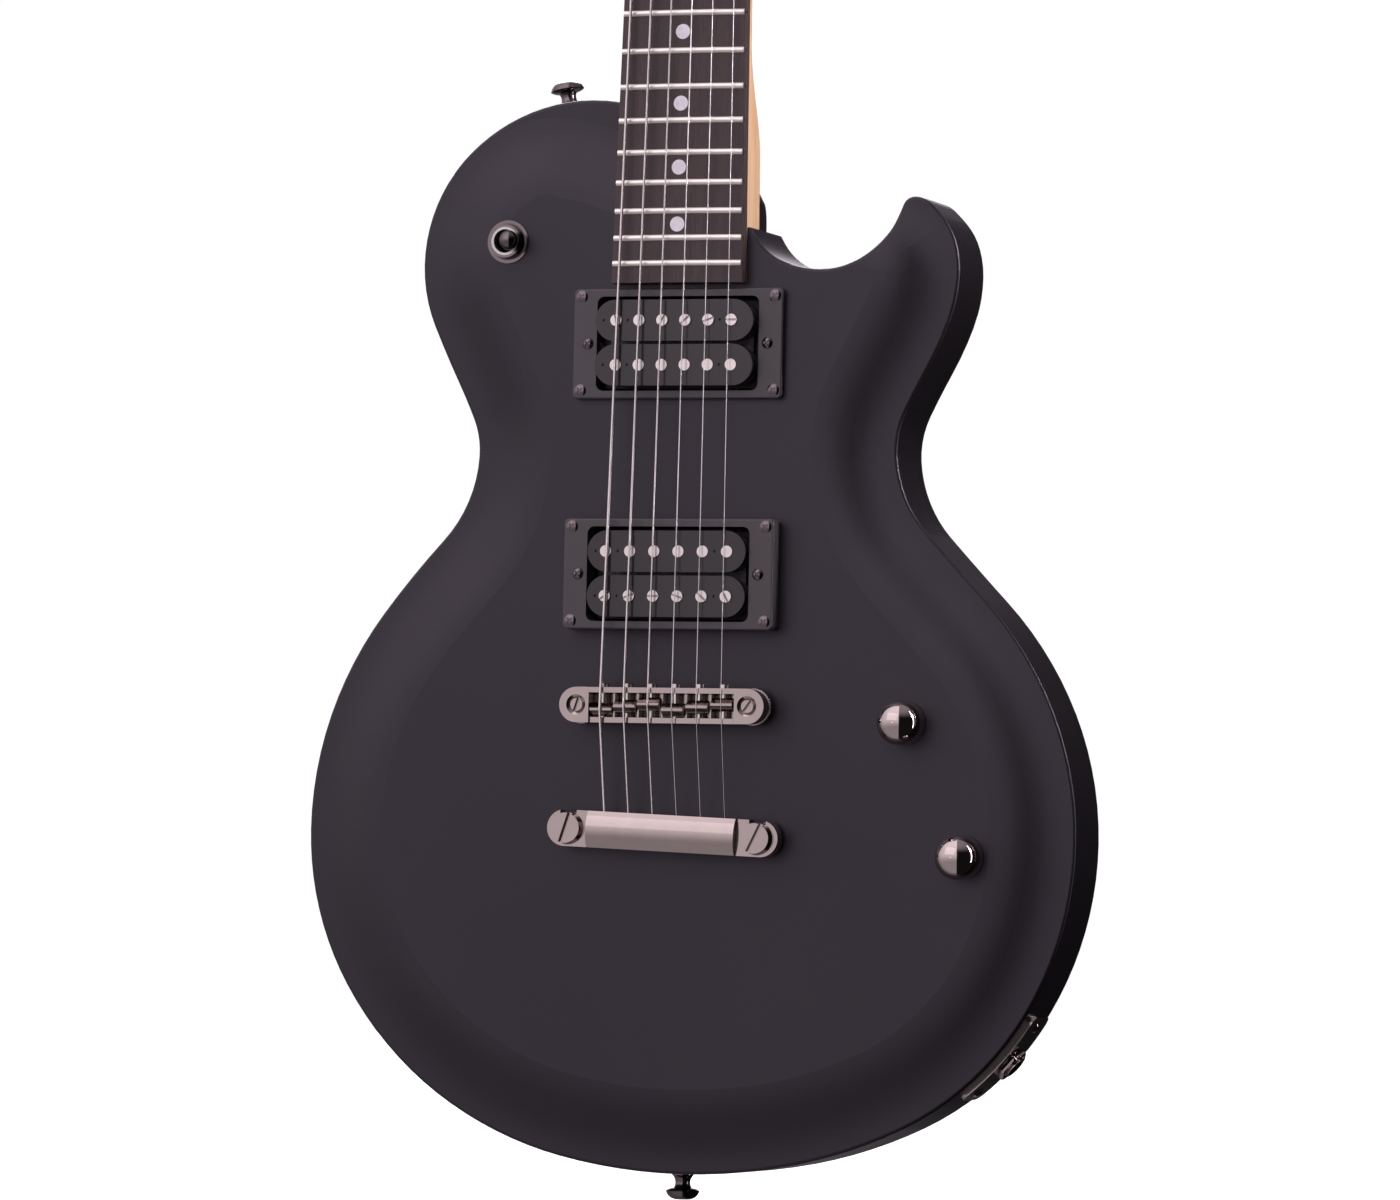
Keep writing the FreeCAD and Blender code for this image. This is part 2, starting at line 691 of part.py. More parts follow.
def neck_shaft():
    """Square heel, shaft and square headstock end, joined by two smooth transitions."""
    heel, shaft_depth, nut_depth, head = size("heel_depth"), 15.6, 13.2, 14.4
    square, round_back = (0.85, 0.9), (0.08, 0.08)

    def blend(low, high, depths, shapes, steps):
        sections = []
        for step in range(steps + 1):
            share = step / steps
            smooth = share * share * (3 - 2 * share)
            depth, run, flat = (one + (two - one) * smooth for one, two in
                                zip((depths[0], *shapes[0]), (depths[1], *shapes[1])))
            sections.append(neck_section(low + share * (high - low), depth, run, flat))
        return sections

    low_blend = blend(46.0, 92.0, (heel, shaft_depth), (square, round_back), 6)
    high_blend = blend(NUT_LINE - 16.0, NUT_LINE + size("nut_length"), (nut_depth, head),
                       (round_back, square), 4)
    pieces = [Part.makeLoft([neck_section(BOARD_END, heel, *square), low_blend[0]], True, True),
              Part.makeLoft(low_blend, True, False),
              Part.makeLoft([low_blend[-1], high_blend[0]], True, True),
              Part.makeLoft(high_blend, True, False)]
    return shaped("neck_shaft", pieces[0].multiFuse(pieces[1:]).removeSplitter())


def make_neck():
    to_head = NECK.inverse() * HEAD
    paddle = plate("neck_paddle", tangent_arcs(HEAD_OUTLINE), "size.head_thickness", 0.0,
                   to_head)
    below = block("neck_paddle_end", 80.0, 60.0, 40.0, Vector(0, 0, -20))
    below.Placement = to_head * below.Placement
    blank = fuse("neck_blank", [neck_shaft(), cut("neck_head", paddle, [below])])
    rod_end = NUT_LINE + size("nut_length") + 16.0
    trench = block("truss_rod_trench", 6.2, TRUSS_ROD_DEPTH + 3.2 + 10.0,
                   rod_end - TRUSS_ROD_START + 2.0,
                   Vector(0, (TRUSS_ROD_DEPTH + 3.2 - 10.0) / 2,
                          (rod_end + TRUSS_ROD_START) / 2))
    access = plate("truss_rod_access", capsule(0, 8, 0, 26, 5.5), 9.0, -EXTRA, to_head)
    tools = [trench, access]
    for number, screw in enumerate(NECK_SCREWS, start=1):
        drill = rod(f"heel_drill_{number}", 1.9, 18.0, screw + BACK * 20.0, FRONT)
        drill.Placement = NECK.inverse() * drill.Placement
        tools.append(drill)
    for side, number in TUNERS:
        place = tuner_place(side, number)
        drill = rod(f"tuner_drill_{side + 1}_{number}", 5.0, 20.0, Vector(), BACK)
        drill.Placement = to_head * Placement(place + FRONT * EXTRA, facing(BACK))
        tools.append(drill)
    finish(cut("neck", blank, tools), "neck", NECK)


def fret_numbers():
    return range(1, int(size("fret_count")) + 1)


DOT_RADIUS, DOT_DEPTH = 3.1, 1.5
DOUBLE_DOT_SPREAD = 11.0


def dot_places():
    """Middle of each space that carries a dot: (x, distance above the last fret)."""
    places = []
    for number in (3, 5, 7, 9, 12, 15, 17, 19, 21):
        middle = (fret_place(number) + fret_place(number - 1)) / 2
        spread = (-DOUBLE_DOT_SPREAD, DOUBLE_DOT_SPREAD) if number == 12 else (0,)
        places += [(x, middle) for x in spread]
    return places


def dots(name, depth, reach):
    thickness = size("board_thickness")
    return [rod(f"{name}_{number}", DOT_RADIUS, depth + reach,
                Vector(x, crown(x) - thickness - reach, along), BACK)
            for number, (x, along) in enumerate(dot_places(), start=1)]


TANG_WIDTH, TANG_DEPTH = 0.55, 2.0


def make_fretboard():
    thickness, radius = size("board_thickness"), size("board_radius")
    low, high = board_width(BOARD_END) / 2, board_width(NUT_LINE) / 2
    outline = polygon([(-low, BOARD_END), (low, BOARD_END), (high, NUT_LINE), (-high, NUT_LINE)])
    blank = plate("board_blank", outline, thickness, -thickness)
    barrel = rod("board_barrel", "size.board_radius", NUT_LINE - BOARD_END + 2 * EXTRA,
                 Vector(0, radius - thickness, BOARD_END - EXTRA), UP)
    board = common("board_curved", blank, barrel)
    floor = thickness - crown(size("last_fret_width") / 2) - TANG_DEPTH
    slots = [block(f"fret_slot_{number}", 60.0, 6.0, TANG_WIDTH,
                   Vector(0, -floor - 3.0, fret_place(number))) for number in fret_numbers()]
    finish(cut("fretboard", board, slots + dots("dot_seat", DOT_DEPTH, EXTRA)), "fretboard", NECK)


def make_dots():
    finish(group("dot_inlays", dots("dot", DOT_DEPTH, 0.0)), "dot_inlays", NECK)


def make_frets():
    """Each fret is its crown and tang turned about the axis of the board's curve."""
    thickness, radius = size("board_thickness"), size("board_radius")
    half_crown, height = 1.35, 1.0
    frets = []
    for number in fret_numbers():
        along = fret_place(number)

        def at(out, up):
            return Vector(0, -thickness - out, along + up)

        half_tang = TANG_WIDTH / 2
        profile = Part.Wire([
            Part.Arc(at(0, -half_crown), at(height, 0), at(0, half_crown)).toShape(),
            Part.makeLine(at(0, half_crown), at(0, half_tang)),
            Part.makeLine(at(0, half_tang), at(-TANG_DEPTH, half_tang)),
            Part.makeLine(at(-TANG_DEPTH, half_tang), at(-TANG_DEPTH, -half_tang)),
            Part.makeLine(at(-TANG_DEPTH, -half_tang), at(0, -half_tang)),
            Part.makeLine(at(0, -half_tang), at(0, -half_crown))])
        reach = math.degrees(math.asin((board_width(along) / 2 - 0.4) / radius))
        centre = Vector(0, radius - thickness, along)
        face = Part.Face(profile)
        face.rotate(centre, UP, -reach)
        frets.append(face.revolve(centre, UP, 2 * reach))
    finish(shaped("frets", Part.makeCompound(frets)), "frets", NECK)


# ---------------------------------------------------------------- strings

STRING_GAUGES = [1.17, 0.91, 0.66, 0.43, 0.33, 0.25]
WOUND = range(0, 3)
PLAIN = range(3, 6)
SADDLE_OFFSETS = [-1.8, -0.5, 0.5, -1.8, -0.5, 0.6]
FRET_HEIGHT = 1.0
NUT_CLEARANCE = 0.35
TAIL_STRING_DEPTH = -7.0
TAIL_HALF_WIDTH = 7.5
STRING_POST_HEIGHT = 11.0


def spread(number, width):
    return (number / 5 - 0.5) * width


def saddle_point(number):
    """Top of a saddle, under its string."""
    x = spread(number, size("string_spread"))
    return Vector(x, -size("string_height") + crown(x),
                  size("bridge_line") + SADDLE_OFFSETS[number])


def nut_point(number, along=0.0):
    """Bottom of a nut slot, in the neck's frame."""
    x = spread(number, size("nut_spread"))
    depth = -size("board_thickness") - FRET_HEIGHT - NUT_CLEARANCE + crown(x)
    return Vector(x, depth, NUT_LINE + along)


def tuner_of(number):
    """Strings 0 to 2 go to the bass side, nearest post first; 3 to 5 to the treble side."""
    return (-1, number) if number < 3 else (1, 5 - number)


def string_route(number):
    gauge = STRING_GAUGES[number] / 2
    saddle = saddle_point(number) + FRONT * gauge
    nut = nut_point(number, size("nut_length") / 2) + FRONT * gauge
    side, place = tuner_of(number)
    post = tuner_place(side, place)
    around = size("tuner_post_diameter") / 2 + 0.1 + gauge
    post_side = Vector(post.x - side * around, -STRING_POST_HEIGHT, post.z)
    tail_x = TAIL.inverse().multVec(Vector(saddle.x, 0, TAIL.Base.z)).x
    ball = TAIL.multVec(Vector(tail_x, TAIL_STRING_DEPTH, -TAIL_HALF_WIDTH + 3.4))
    leave = TAIL.multVec(Vector(tail_x, TAIL_STRING_DEPTH, TAIL_HALF_WIDTH - 1.0))
    return [ball, leave, saddle, NECK.multVec(nut), HEAD.multVec(post_side)]


def winding(number):
    """Three turns round the tuner's post, as rings that clear the post."""
    side, place = tuner_of(number)
    post = tuner_place(side, place)
    gauge = STRING_GAUGES[number] / 2
    around = size("tuner_post_diameter") / 2 + 0.1 + gauge
    rings = []
    for turn in range(3):
        centre = post + FRONT * (STRING_POST_HEIGHT - turn * gauge * 1.8)
        ring = Part.makeTorus(around, gauge, HEAD.multVec(centre),
                              HEAD.Rotation.multVec(FRONT))
        rings.append(ring)
    return rings


def string_solids(number):
    route = string_route(number)
    gauge = STRING_GAUGES[number] / 2
    length = tube(route, gauge, 6.0)
    along = route[1] - route[0]
    along.normalize()
    ball = Part.makeCylinder(1.9, 2.6, route[0] - along * 2.6, along)
    solids = length.fuse(ball)
    for ring in winding(number):
        solids = solids.fuse(ring)
    return solids


def make_strings():
    for label, numbers in (("wound_strings", WOUND), ("plain_strings", PLAIN)):
        solids = [string_solids(number) for number in numbers]
        finish(shaped(label, Part.makeCompound(solids)), label)


def make_nut():
    """The nut stands on the neck just past the fretboard, with a slot for each string."""
    width, length = size("nut_width"), size("nut_length")
    top = size("board_thickness") + FRET_HEIGHT + NUT_CLEARANCE + 0.7
    blank = block("nut_blank", width - 0.4, top + 3.0, length,
                  Vector(0, -(top + 3.0) / 2, NUT_LINE + length / 2))
    radius = size("board_radius") + top - size("board_thickness")
    barrel = rod("nut_barrel", radius, length + 2 * EXTRA,
                 Vector(0, radius - top, NUT_LINE - EXTRA), UP)
    curved = common("nut_curved", blank, barrel)
    slots = []
    for number in STRINGS:
        gauge = STRING_GAUGES[number] / 2 + 0.02
        route = string_route(number)
        saddle, nut, post = (NECK.inverse().multVec(point) for point in route[2:])
        points = [nut + (saddle - nut).normalize() * 8, nut, nut + (post - nut).normalize() * 8]
        groove = tube(points, gauge, 6.0)
        lip = Part.makeBox(gauge * 2, 3.0, length + 4.0,
                           Vector(nut.x - gauge, nut.y - 3.0, NUT_LINE - 2.0))
        slots.append(shaped(f"nut_slot_{number}", groove.fuse(lip)))
    finish(cut("nut", curved, slots), "nut", NECK)


# ---------------------------------------------------------------- truss rod and heel

def hexagon(across, z=0.0):
    reach = across / math.sqrt(3)
    return [(reach * math.cos(math.radians(60 * turn)),
             z + reach * math.sin(math.radians(60 * turn))) for turn in range(6)]


def make_truss_rod():
    start = Vector(0, TRUSS_ROD_DEPTH, TRUSS_ROD_START)
    length = NUT_LINE + size("nut_length") + 2.0 - TRUSS_ROD_START
    bar = rod("truss_rod_bar", 2.5, length, start, UP)
    nut = plate("truss_rod_nut", polygon(hexagon(5.0)), 9.0)
    nut.Placement = Placement(start + UP * length, Rotation(TREBLE, 90))
    finish(group("truss_rod", [bar, nut]), "truss_rod", NECK)


TRUSS_COVER_SCREWS = [(-7.5, 5.0), (7.5, 5.0), (0, 37.0)]


def make_truss_rod_cover():
    outline = polygon([(-11, 1.5), (11, 1.5), (11, 12), (4, 41), (-4, 41), (-11, 12)])
    for x, z in TRUSS_COVER_SCREWS:
        outline += circle(x, z, 1.2)
    finish(plate("truss_rod_cover", outline, 1.8, -1.8), "truss_rod_cover", HEAD)


def make_neck_plate():
    outline = rounded_box(HEEL_PLATE.x, HEEL_PLATE.z, 44.0, 50.0, 6.0)
    for screw in NECK_SCREWS:
        outline += circle(screw.x, screw.z, 2.3)
    body = plate("neck_plate", outline, 1.8, size("body_depth"))
    back = size("body_depth") + 1.8
    soften(body, 0.6, lambda edge: edge.BoundBox.YMin > back - 0.01
           and len(edge.Vertexes) == 2)
    finish(body, "neck_plate")


def screw_profile(head_radius, head_height, shank_radius, length, point=2.0):
    """Half section of a domed screw: the head stands above zero, the shank goes below."""
    tip = -length
    dome_middle = Vector(head_radius * 0.62, head_height * 0.8, 0)
    lines = [(0, tip), (shank_radius, tip + point), (shank_radius, 0), (head_radius, 0)]
    points = [Vector(x, z, 0) for x, z in lines]
    top = Vector(0, head_height, 0)
    profile = [Part.LineSegment(a, b) for a, b in zip(points, points[1:])]
    profile.append(Part.Arc(points[-1], dome_middle, top))
    profile.append(Part.LineSegment(top, points[0]))
    return profile


def cross_screw(name, place, outward, head_radius, head_height, shank_radius, length):
    """A screw with a cross recess in its domed head."""
    blank = turned(name + "_blank", screw_profile(head_radius, head_height, shank_radius,
                                                 length), place, outward)
    wing = head_radius * 1.1
    seat = place + Vector(outward).normalize() * head_height
    wings = [block(f"{name}_wing_{turn}", wing, wing * 0.24, head_height * 1.1, Vector())
             for turn in range(2)]
    for turn, item in enumerate(wings):
        spin = facing(outward) * Rotation(UP, 45 + 90 * turn)
        corner = Placement(Vector(-wing / 2, -wing * 0.12, -head_height * 0.55), Rotation())
        item.Placement = Placement(seat, spin) * corner
    return cut(name, blank, wings)


def make_neck_screws():
    back = size("body_depth") + 1.8
    screws = [cross_screw(f"neck_screw_{number}", Vector(screw.x, back, screw.z), BACK,
                          4.3, 2.2, 1.9, back - 5.0)
              for number, screw in enumerate(NECK_SCREWS, start=1)]
    finish(group("neck_screws", screws), "neck_screws")


# ---------------------------------------------------------------- bridge

WINDOW_HALF = 31.5
SADDLE_WIDTH, SADDLE_LENGTH = 9.3, 5.4
BRIDGE_UNDERSIDE = 6.4
SCREW_DEPTH = -10.4
POST_BEVEL = 0.9


def make_bridge_frame():
    """A round-ended bar with a trough for the saddles and a hole at each end for a post."""
    half, width = size("bridge_post_spacing") / 2, size("bridge_width")
    line, top = size("bridge_line"), size("bridge_top")
    height = top - BRIDGE_UNDERSIDE
    casting = plate("bridge_casting", capsule(-half, line, half, line, width / 2), height, -top)
    tools = [block("bridge_trough", 2 * WINDOW_HALF, height + 2, width - 4.4,
                   Vector(0, -top + height / 2 - 1.6, line))]
    tools.append(block("bridge_low_wall", 2 * WINDOW_HALF, 2.4, 4.6,
                       Vector(0, -top, line - width / 2)))
    for side, post in zip("ab", BRIDGE_POSTS):
        tools.append(rod(f"bridge_post_hole_{side}",
                         "size.post_diameter / 2 + size.running_gap", height + 2,
                         post + FRONT * (top + 1), BACK))
        tools.append(cone(f"bridge_post_bevel_{side}",
                          "size.post_diameter / 2 + size.running_gap",
                          "size.post_diameter / 2 + 1.1", POST_BEVEL,
                          post + FRONT * (top - POST_BEVEL), FRONT))
    for number in STRINGS:
        x = spread(number, size("string_spread"))
        tools.append(rod(f"bridge_screw_hole_{number}", 1.3, width + 2,
                         Vector(x, SCREW_DEPTH, line - width / 2 - 1), UP))
    ribs = []
    for number in range(5):
        x = spread(number + 0.5, size("string_spread"))
        ribs.append(block(f"bridge_rib_{number}", 0.7, height - 2.6, width - 4.4,
                          Vector(x, -top + height / 2 + 0.2, line)))
    finish(fuse("bridge_frame", [cut("bridge_drilled", casting, tools)] + ribs), "bridge_frame")


def make_saddles():
    """Each saddle is a small block with a ridge that carries its string."""
    base = -BRIDGE_UNDERSIDE - 1.9
    half = SADDLE_LENGTH / 2
    saddles = []
    for number in STRINGS:
        peak = saddle_point(number)
        depth = peak.y
        profile = [(base, -half), (depth + 2.6, -half), (depth, -0.5), (depth, 0.5),
                   (depth + 2.6, half), (base, half)]
        points = [Vector(peak.x - SADDLE_WIDTH / 2, y, peak.z + z) for y, z in profile]
        face = Part.Face(Part.makePolygon(points + points[:1]))
        solid = face.extrude(TREBLE * SADDLE_WIDTH)
        bore = Part.makeCylinder(1.2, 20, Vector(peak.x, SCREW_DEPTH, peak.z - 10), UP)
        route = string_route(number)
        gauge = STRING_GAUGES[number] / 2
        groove = tube([route[1], route[2], route[2] + (route[3] - route[2]).normalize() * 20],
                      gauge, 6.0)
        saddles.append(solid.cut(bore).cut(groove))
    finish(shaped("bridge_saddles", Part.makeCompound(saddles)), "bridge_saddles")


def make_intonation_screws():
    """Long screws through the front wall and the saddle; their heads face the neck."""
    line, width = size("bridge_line"), size("bridge_width")
    screws = []
    for number in STRINGS:
        x = spread(number, size("string_spread"))
        shank = rod(f"intonation_shank_{number}", 1.2, width - 0.5,
                    Vector(x, SCREW_DEPTH, line - width / 2 + 0.5), UP)
        head = rod(f"intonation_head_{number}", 2.1, 1.6,
                   Vector(x, SCREW_DEPTH, line + width / 2), UP)
        slot = block(f"intonation_slot_{number}", 5.0, 0.6, 0.8,
                     Vector(x, SCREW_DEPTH, line + width / 2 + 1.4))
        screws.append(cut(f"intonation_screw_{number}",
                          fuse(f"intonation_blank_{number}", [shank, head]), [slot]))
    finish(group("intonation_screws", screws), "intonation_screws")


def make_bridge_posts():
    """A stem with a beveled, slotted top just below the face of the bridge."""
    posts = []
    for side, turn, post in zip("ab", (-72, -54), BRIDGE_POSTS):
        stem = rod(f"bridge_post_stem_{side}", "size.post_diameter / 2", "size.bridge_top + 16.9",
                   post + BACK * 18.0, FRONT)
        crown = cone(f"bridge_post_crown_{side}", "size.post_diameter / 2",
                     "size.post_diameter / 2 - 0.5", 0.6,
                     post + FRONT * (size("bridge_top") - 1.1), FRONT)
        slot = block(f"bridge_post_slot_{side}", 8.0, 2.0, 1.2,
                     post + FRONT * (size("bridge_top") - 0.5), Rotation(BACK, turn))
        posts.append(cut(f"bridge_post_{side}",
                         fuse(f"bridge_post_blank_{side}", [stem, crown]), [slot]))
    finish(group("bridge_posts", posts), "bridge_posts")


def make_thumbwheels():
    wheels = []
    for side, post in zip("ab", BRIDGE_POSTS):
        disc = rod(f"wheel_disc_{side}", 7.4, 2.4, post + FRONT * BRIDGE_UNDERSIDE, BACK)
        hole = rod(f"wheel_hole_{side}", "size.post_diameter / 2", 6.0,
                   post + FRONT * (BRIDGE_UNDERSIDE + 1), BACK)
        wheels.append(cut(f"wheel_{side}", disc, [hole]))
    finish(group("bridge_thumbwheels", wheels), "bridge_thumbwheels")


def make_bushings():
    """Flanged sleeves pressed into the body for the posts and studs."""
    radii = ["size.post_diameter / 2"] * 2 + [3.5] * 2
    sleeves = []
    for number, (place, bore) in enumerate(zip(BRIDGE_POSTS + STUDS, radii), start=1):
        sleeve = rod(f"sleeve_{number}", 5.5, 22.0, place, BACK)
        flange = rod(f"flange_{number}", 6.6, 1.0, place, FRONT)
        hole = rod(f"sleeve_bore_{number}", bore, 30.0, place + FRONT * 3, BACK)
        sleeves.append(cut(f"bushing_{number}",
                           fuse(f"bushing_blank_{number}", [sleeve, flange]), [hole]))
    finish(group("stud_bushings", sleeves), "stud_bushings")


EAR_TOP, EAR_UNDERSIDE = -9.4, -3.4
BAR_HALF = 32.0


def make_tailpiece():
    """A domed bar between two lower ears that hook round the studs."""
    half = size("stud_spacing") / 2
    ears = plate("tail_ears", capsule(-half - 1.5, 0, half + 1.5, 0, TAIL_HALF_WIDTH),
                 EAR_UNDERSIDE - EAR_TOP, EAR_TOP)
    body = doc.addObject("PartDesign::Body", "tail_bar")
    low, high = EAR_UNDERSIDE, -13.2
    side, shoulder = TAIL_HALF_WIDTH, -10.8

    def at(depth, along):
        return Vector(depth, along, 0)

    section = [Part.LineSegment(at(low, -side + 1), at(low, side - 1)),
               Part.LineSegment(at(low, side - 1), at(low - 1, side)),
               Part.LineSegment(at(low - 1, side), at(shoulder, side)),
               Part.Arc(at(shoulder, side), at(high, 0), at(shoulder, -side)),
               Part.LineSegment(at(shoulder, -side), at(low - 1, -side)),
               Part.LineSegment(at(low - 1, -side), at(low, -side + 1))]
    pad = body.newObject("PartDesign::Pad", "tail_bar_pad")
    pad.Profile = sketch_in(body, "tail_bar_section", "YZ_Plane", section, -BAR_HALF)
    pad.Length = 2 * BAR_HALF
    casting = fuse("tail_casting", [ears, body])
    tools = []
    for name, sign in (("bass", -1), ("treble", 1)):
        tools.append(plate(f"tail_fork_{name}", capsule(sign * half, 0, sign * half, 12, 3.6),
                           12, EAR_TOP - 3))
    for number in STRINGS:
        start, leave = (TAIL.inverse().multVec(point) for point in string_route(number)[:2])
        tools.append(rod(f"tail_string_hole_{number}", 0.9, 18.0,
                         Vector(start.x, start.y, -9.0), UP))
        tools.append(rod(f"tail_ball_seat_{number}", 2.0, 5.1,
                         Vector(start.x, start.y, start.z - 5.0), UP))
    finish(cut("tailpiece", casting, tools), "tailpiece", TAIL)


def make_tail_studs():
    """A slotted head, a neck that the ear hooks round, a flange and a stem in the bushing."""
    studs = []
    for side, turn, place in zip("ab", (-72, -64), STUDS):
        stem = rod(f"stud_stem_{side}", 3.5, 20.0 + 3.4 + 6.0, place + BACK * 20.0, FRONT)
        flange = rod(f"stud_flange_{side}", 5.6, 1.8, place + FRONT * 1.4, FRONT)
        head = cone(f"stud_head_{side}", "size.stud_head_diameter / 2",
                    "size.stud_head_diameter / 2 - 0.7", 3.8, place + BACK * EAR_TOP, FRONT)
        slot = block(f"stud_slot_{side}", 16.0, 3.0, 1.8, place + BACK * (EAR_TOP - 3.6),
                     Rotation(BACK, turn))
        studs.append(cut(f"stud_{side}", fuse(f"stud_blank_{side}", [stem, flange, head]),
                         [slot]))
    finish(group("tailpiece_studs", studs), "tailpiece_studs")


# ---------------------------------------------------------------- pickups

FLANGE, COIL_HEIGHT, LOWER_FLANGE = 2.0, 7.0, 1.5
MAGNET_HEIGHT, BASE_HEIGHT = 3.0, 1.2
CORE_LENGTH, CORE_WIDTH = 58.0, 6.4
END_PIN = -30.5


def bobbin_centres(line):
    return [line - size("coil_pitch") / 2, line + size("coil_pitch") / 2]


def slot_outline(z, length, width):
    reach = (length - width) / 2
    return capsule(-reach, z, reach, z, width / 2)


def make_rings():
    for name, (line, height, *_) in PICKUPS.items():
        outline = rounded_box(0, line, size("ring_length"), size("ring_width"), 2.0)
        outline += rounded_box(0, line, size("window_length"), size("window_width"), 3.0)
        for screw in RING_SCREWS:
            outline += circle(screw.x, line + screw.z, 1.15)
        for screw in HEIGHT_SCREWS:
            outline += circle(screw.x, line, 1.55)
        ring = plate(f"{name}_pickup_ring", outline, height, -height)
        soften(ring, 0.8, lambda edge: edge.BoundBox.YMax < 0.01 - height
               and edge.BoundBox.YLength < 0.001
               and max(abs(edge.BoundBox.XMax), abs(edge.BoundBox.XMin),
                       abs(edge.BoundBox.Center.z - line) * 2) > 45.2)
        finish(ring, f"{name}_pickup_ring")


def make_ring_screws():
    screws = []
    for name, (line, height, *_) in PICKUPS.items():
        for number, place in enumerate(RING_SCREWS, start=1):
            top = Vector(place.x, -height, line + place.z)
            screws.append(cross_screw(f"{name}_ring_screw_{number}", top, FRONT,
                                      2.6, 0.6, 1.1, height + 10.0))
    finish(group("pickup_ring_screws", screws), "pickup_ring_screws")


def pole_places(name):
    """Pole centres of a pickup: (x, z, kind), screws in the row given by the last value."""
    line, _, _, pitch, screw_side = PICKUPS[name]
    places = []
    for side in (-1, 1):
        kind = "screw" if side == screw_side else "slug"
        z = line + side * size("coil_pitch") / 2
        places += [((number - 2.5) * pitch, z, kind) for number in STRINGS]
    return places


def make_bobbins():
    bobbins = []
    for name, (line, _, top, pitch, _) in PICKUPS.items():
        for side, z in zip("ab", bobbin_centres(line)):
            key = f"{name}_{side}"
            length, width = size("bobbin_length"), size("bobbin_width")
            upper = plate(f"bobbin_top_{key}", slot_outline(z, length, width), FLANGE, -top)
            core = plate(f"bobbin_core_{key}", slot_outline(z, CORE_LENGTH, CORE_WIDTH),
                         FLANGE + COIL_HEIGHT + LOWER_FLANGE, -top)
            lower = plate(f"bobbin_base_{key}", slot_outline(z, length - 1.5, width - 1.0),
                          LOWER_FLANGE, -top + FLANGE + COIL_HEIGHT)
            holes = [rod(f"bobbin_hole_{key}_{number}", "size.pole_diameter / 2", 14.0,
                         Vector((number - 2.5) * pitch, -top - 1, z), BACK)
                     for number in STRINGS]
            pins = [rod(f"bobbin_pin_{key}_{number}", 0.6, 1.5,
                        Vector(x, -top - 0.5, z), BACK)
                    for number, x in enumerate((-2 * pitch, 2 * pitch, END_PIN))]
            bobbins.append(cut(f"bobbin_{key}", fuse(f"bobbin_blank_{key}",
                                                    [upper, core, lower]), holes + pins))
    finish(group("pickup_bobbins", bobbins), "pickup_bobbins")


def make_coils():
    coils = []
    for name, (line, _, top, *_) in PICKUPS.items():
        for side, z in zip("ab", bobbin_centres(line)):
            outline = slot_outline(z, 66.0, 14.6) + slot_outline(z, CORE_LENGTH, CORE_WIDTH)
            coils.append(plate(f"coil_{name}_{side}", outline, COIL_HEIGHT, -top + FLANGE))
    finish(group("pickup_coils", coils), "pickup_coils")


def make_poles():
    """Slotted screws in one row of each pickup, plain slugs in the other."""
    screws, slugs = [], []
    for name, (_, _, top, *_) in PICKUPS.items():
        for number, (x, z, kind) in enumerate(pole_places(name)):
            place = Vector(x, -top, z)
            if kind == "slug":
                slugs.append(rod(f"slug_{name}_{number}", "size.pole_diameter / 2", 11.2,
                                 place + FRONT * 0.5, BACK))
                continue
            key = f"{name}_{number}"
            head = rod(f"pole_head_{key}", "size.pole_diameter / 2", 10.5 + 0.9,
                       place + FRONT * 0.9, BACK)
            shank = rod(f"pole_shank_{key}", 1.5, 7.0, place + BACK * 10.0, BACK)
            slot = block(f"pole_slot_{key}", 6.0, 1.2, 0.8, place + FRONT * 0.9,
                         Rotation(BACK, 20.0 * number - 40.0))
            screws.append(cut(f"pole_{key}", fuse(f"pole_blank_{key}", [head, shank]), [slot]))
    finish(group("pickup_pole_screws", screws), "pickup_pole_screws")
    finish(group("pickup_slugs", slugs), "pickup_slugs")


def magnet_top(top):
    return -top + FLANGE + COIL_HEIGHT + LOWER_FLANGE + 0.3


def make_magnets():
    """One bar magnet between the two rows of poles of each pickup."""
    magnets = [block(f"magnet_{name}", 62.0, MAGNET_HEIGHT - 0.1, 11.0,
                     Vector(0, magnet_top(top) + MAGNET_HEIGHT / 2, line))
               for name, (line, _, top, *_) in PICKUPS.items()]
    finish(group("pickup_magnets", magnets), "pickup_magnets")


def baseplate_top(top):
    return magnet_top(top) + MAGNET_HEIGHT


def make_baseplates():
    """Plates under the magnets, each with a leg and a drilled foot at both ends."""
    plates = []
    for name, (line, _, top, *_) in PICKUPS.items():
        face = baseplate_top(top)
        outline = rounded_box(0, line, 69.0, 36.0, 2.0)
        for x, z, kind in pole_places(name):
            if kind == "screw":
                outline += circle(x, z, 1.6)
        sheet_metal = plate(f"base_{name}", outline, BASE_HEIGHT, face)
        pieces = [sheet_metal]
        for side in (-1, 1):
            key = f"{name}_{side + 1}"
            leg = block(f"base_leg_{key}", BASE_HEIGHT, 6.0, 12.0,
                        Vector(side * 33.9, face + 3.0, line))
            foot_outline = rounded_box(side * 38.0, line, 9.4, 12.0, 1.0)
            foot_outline += circle(side * 39.0, line, 1.45)
            foot = plate(f"base_foot_{key}", foot_outline, BASE_HEIGHT, face + 6.0 - BASE_HEIGHT)
            pieces += [leg, foot]
        plates.append(fuse(f"baseplate_{name}", pieces))
    finish(group("pickup_baseplates", plates), "pickup_baseplates")


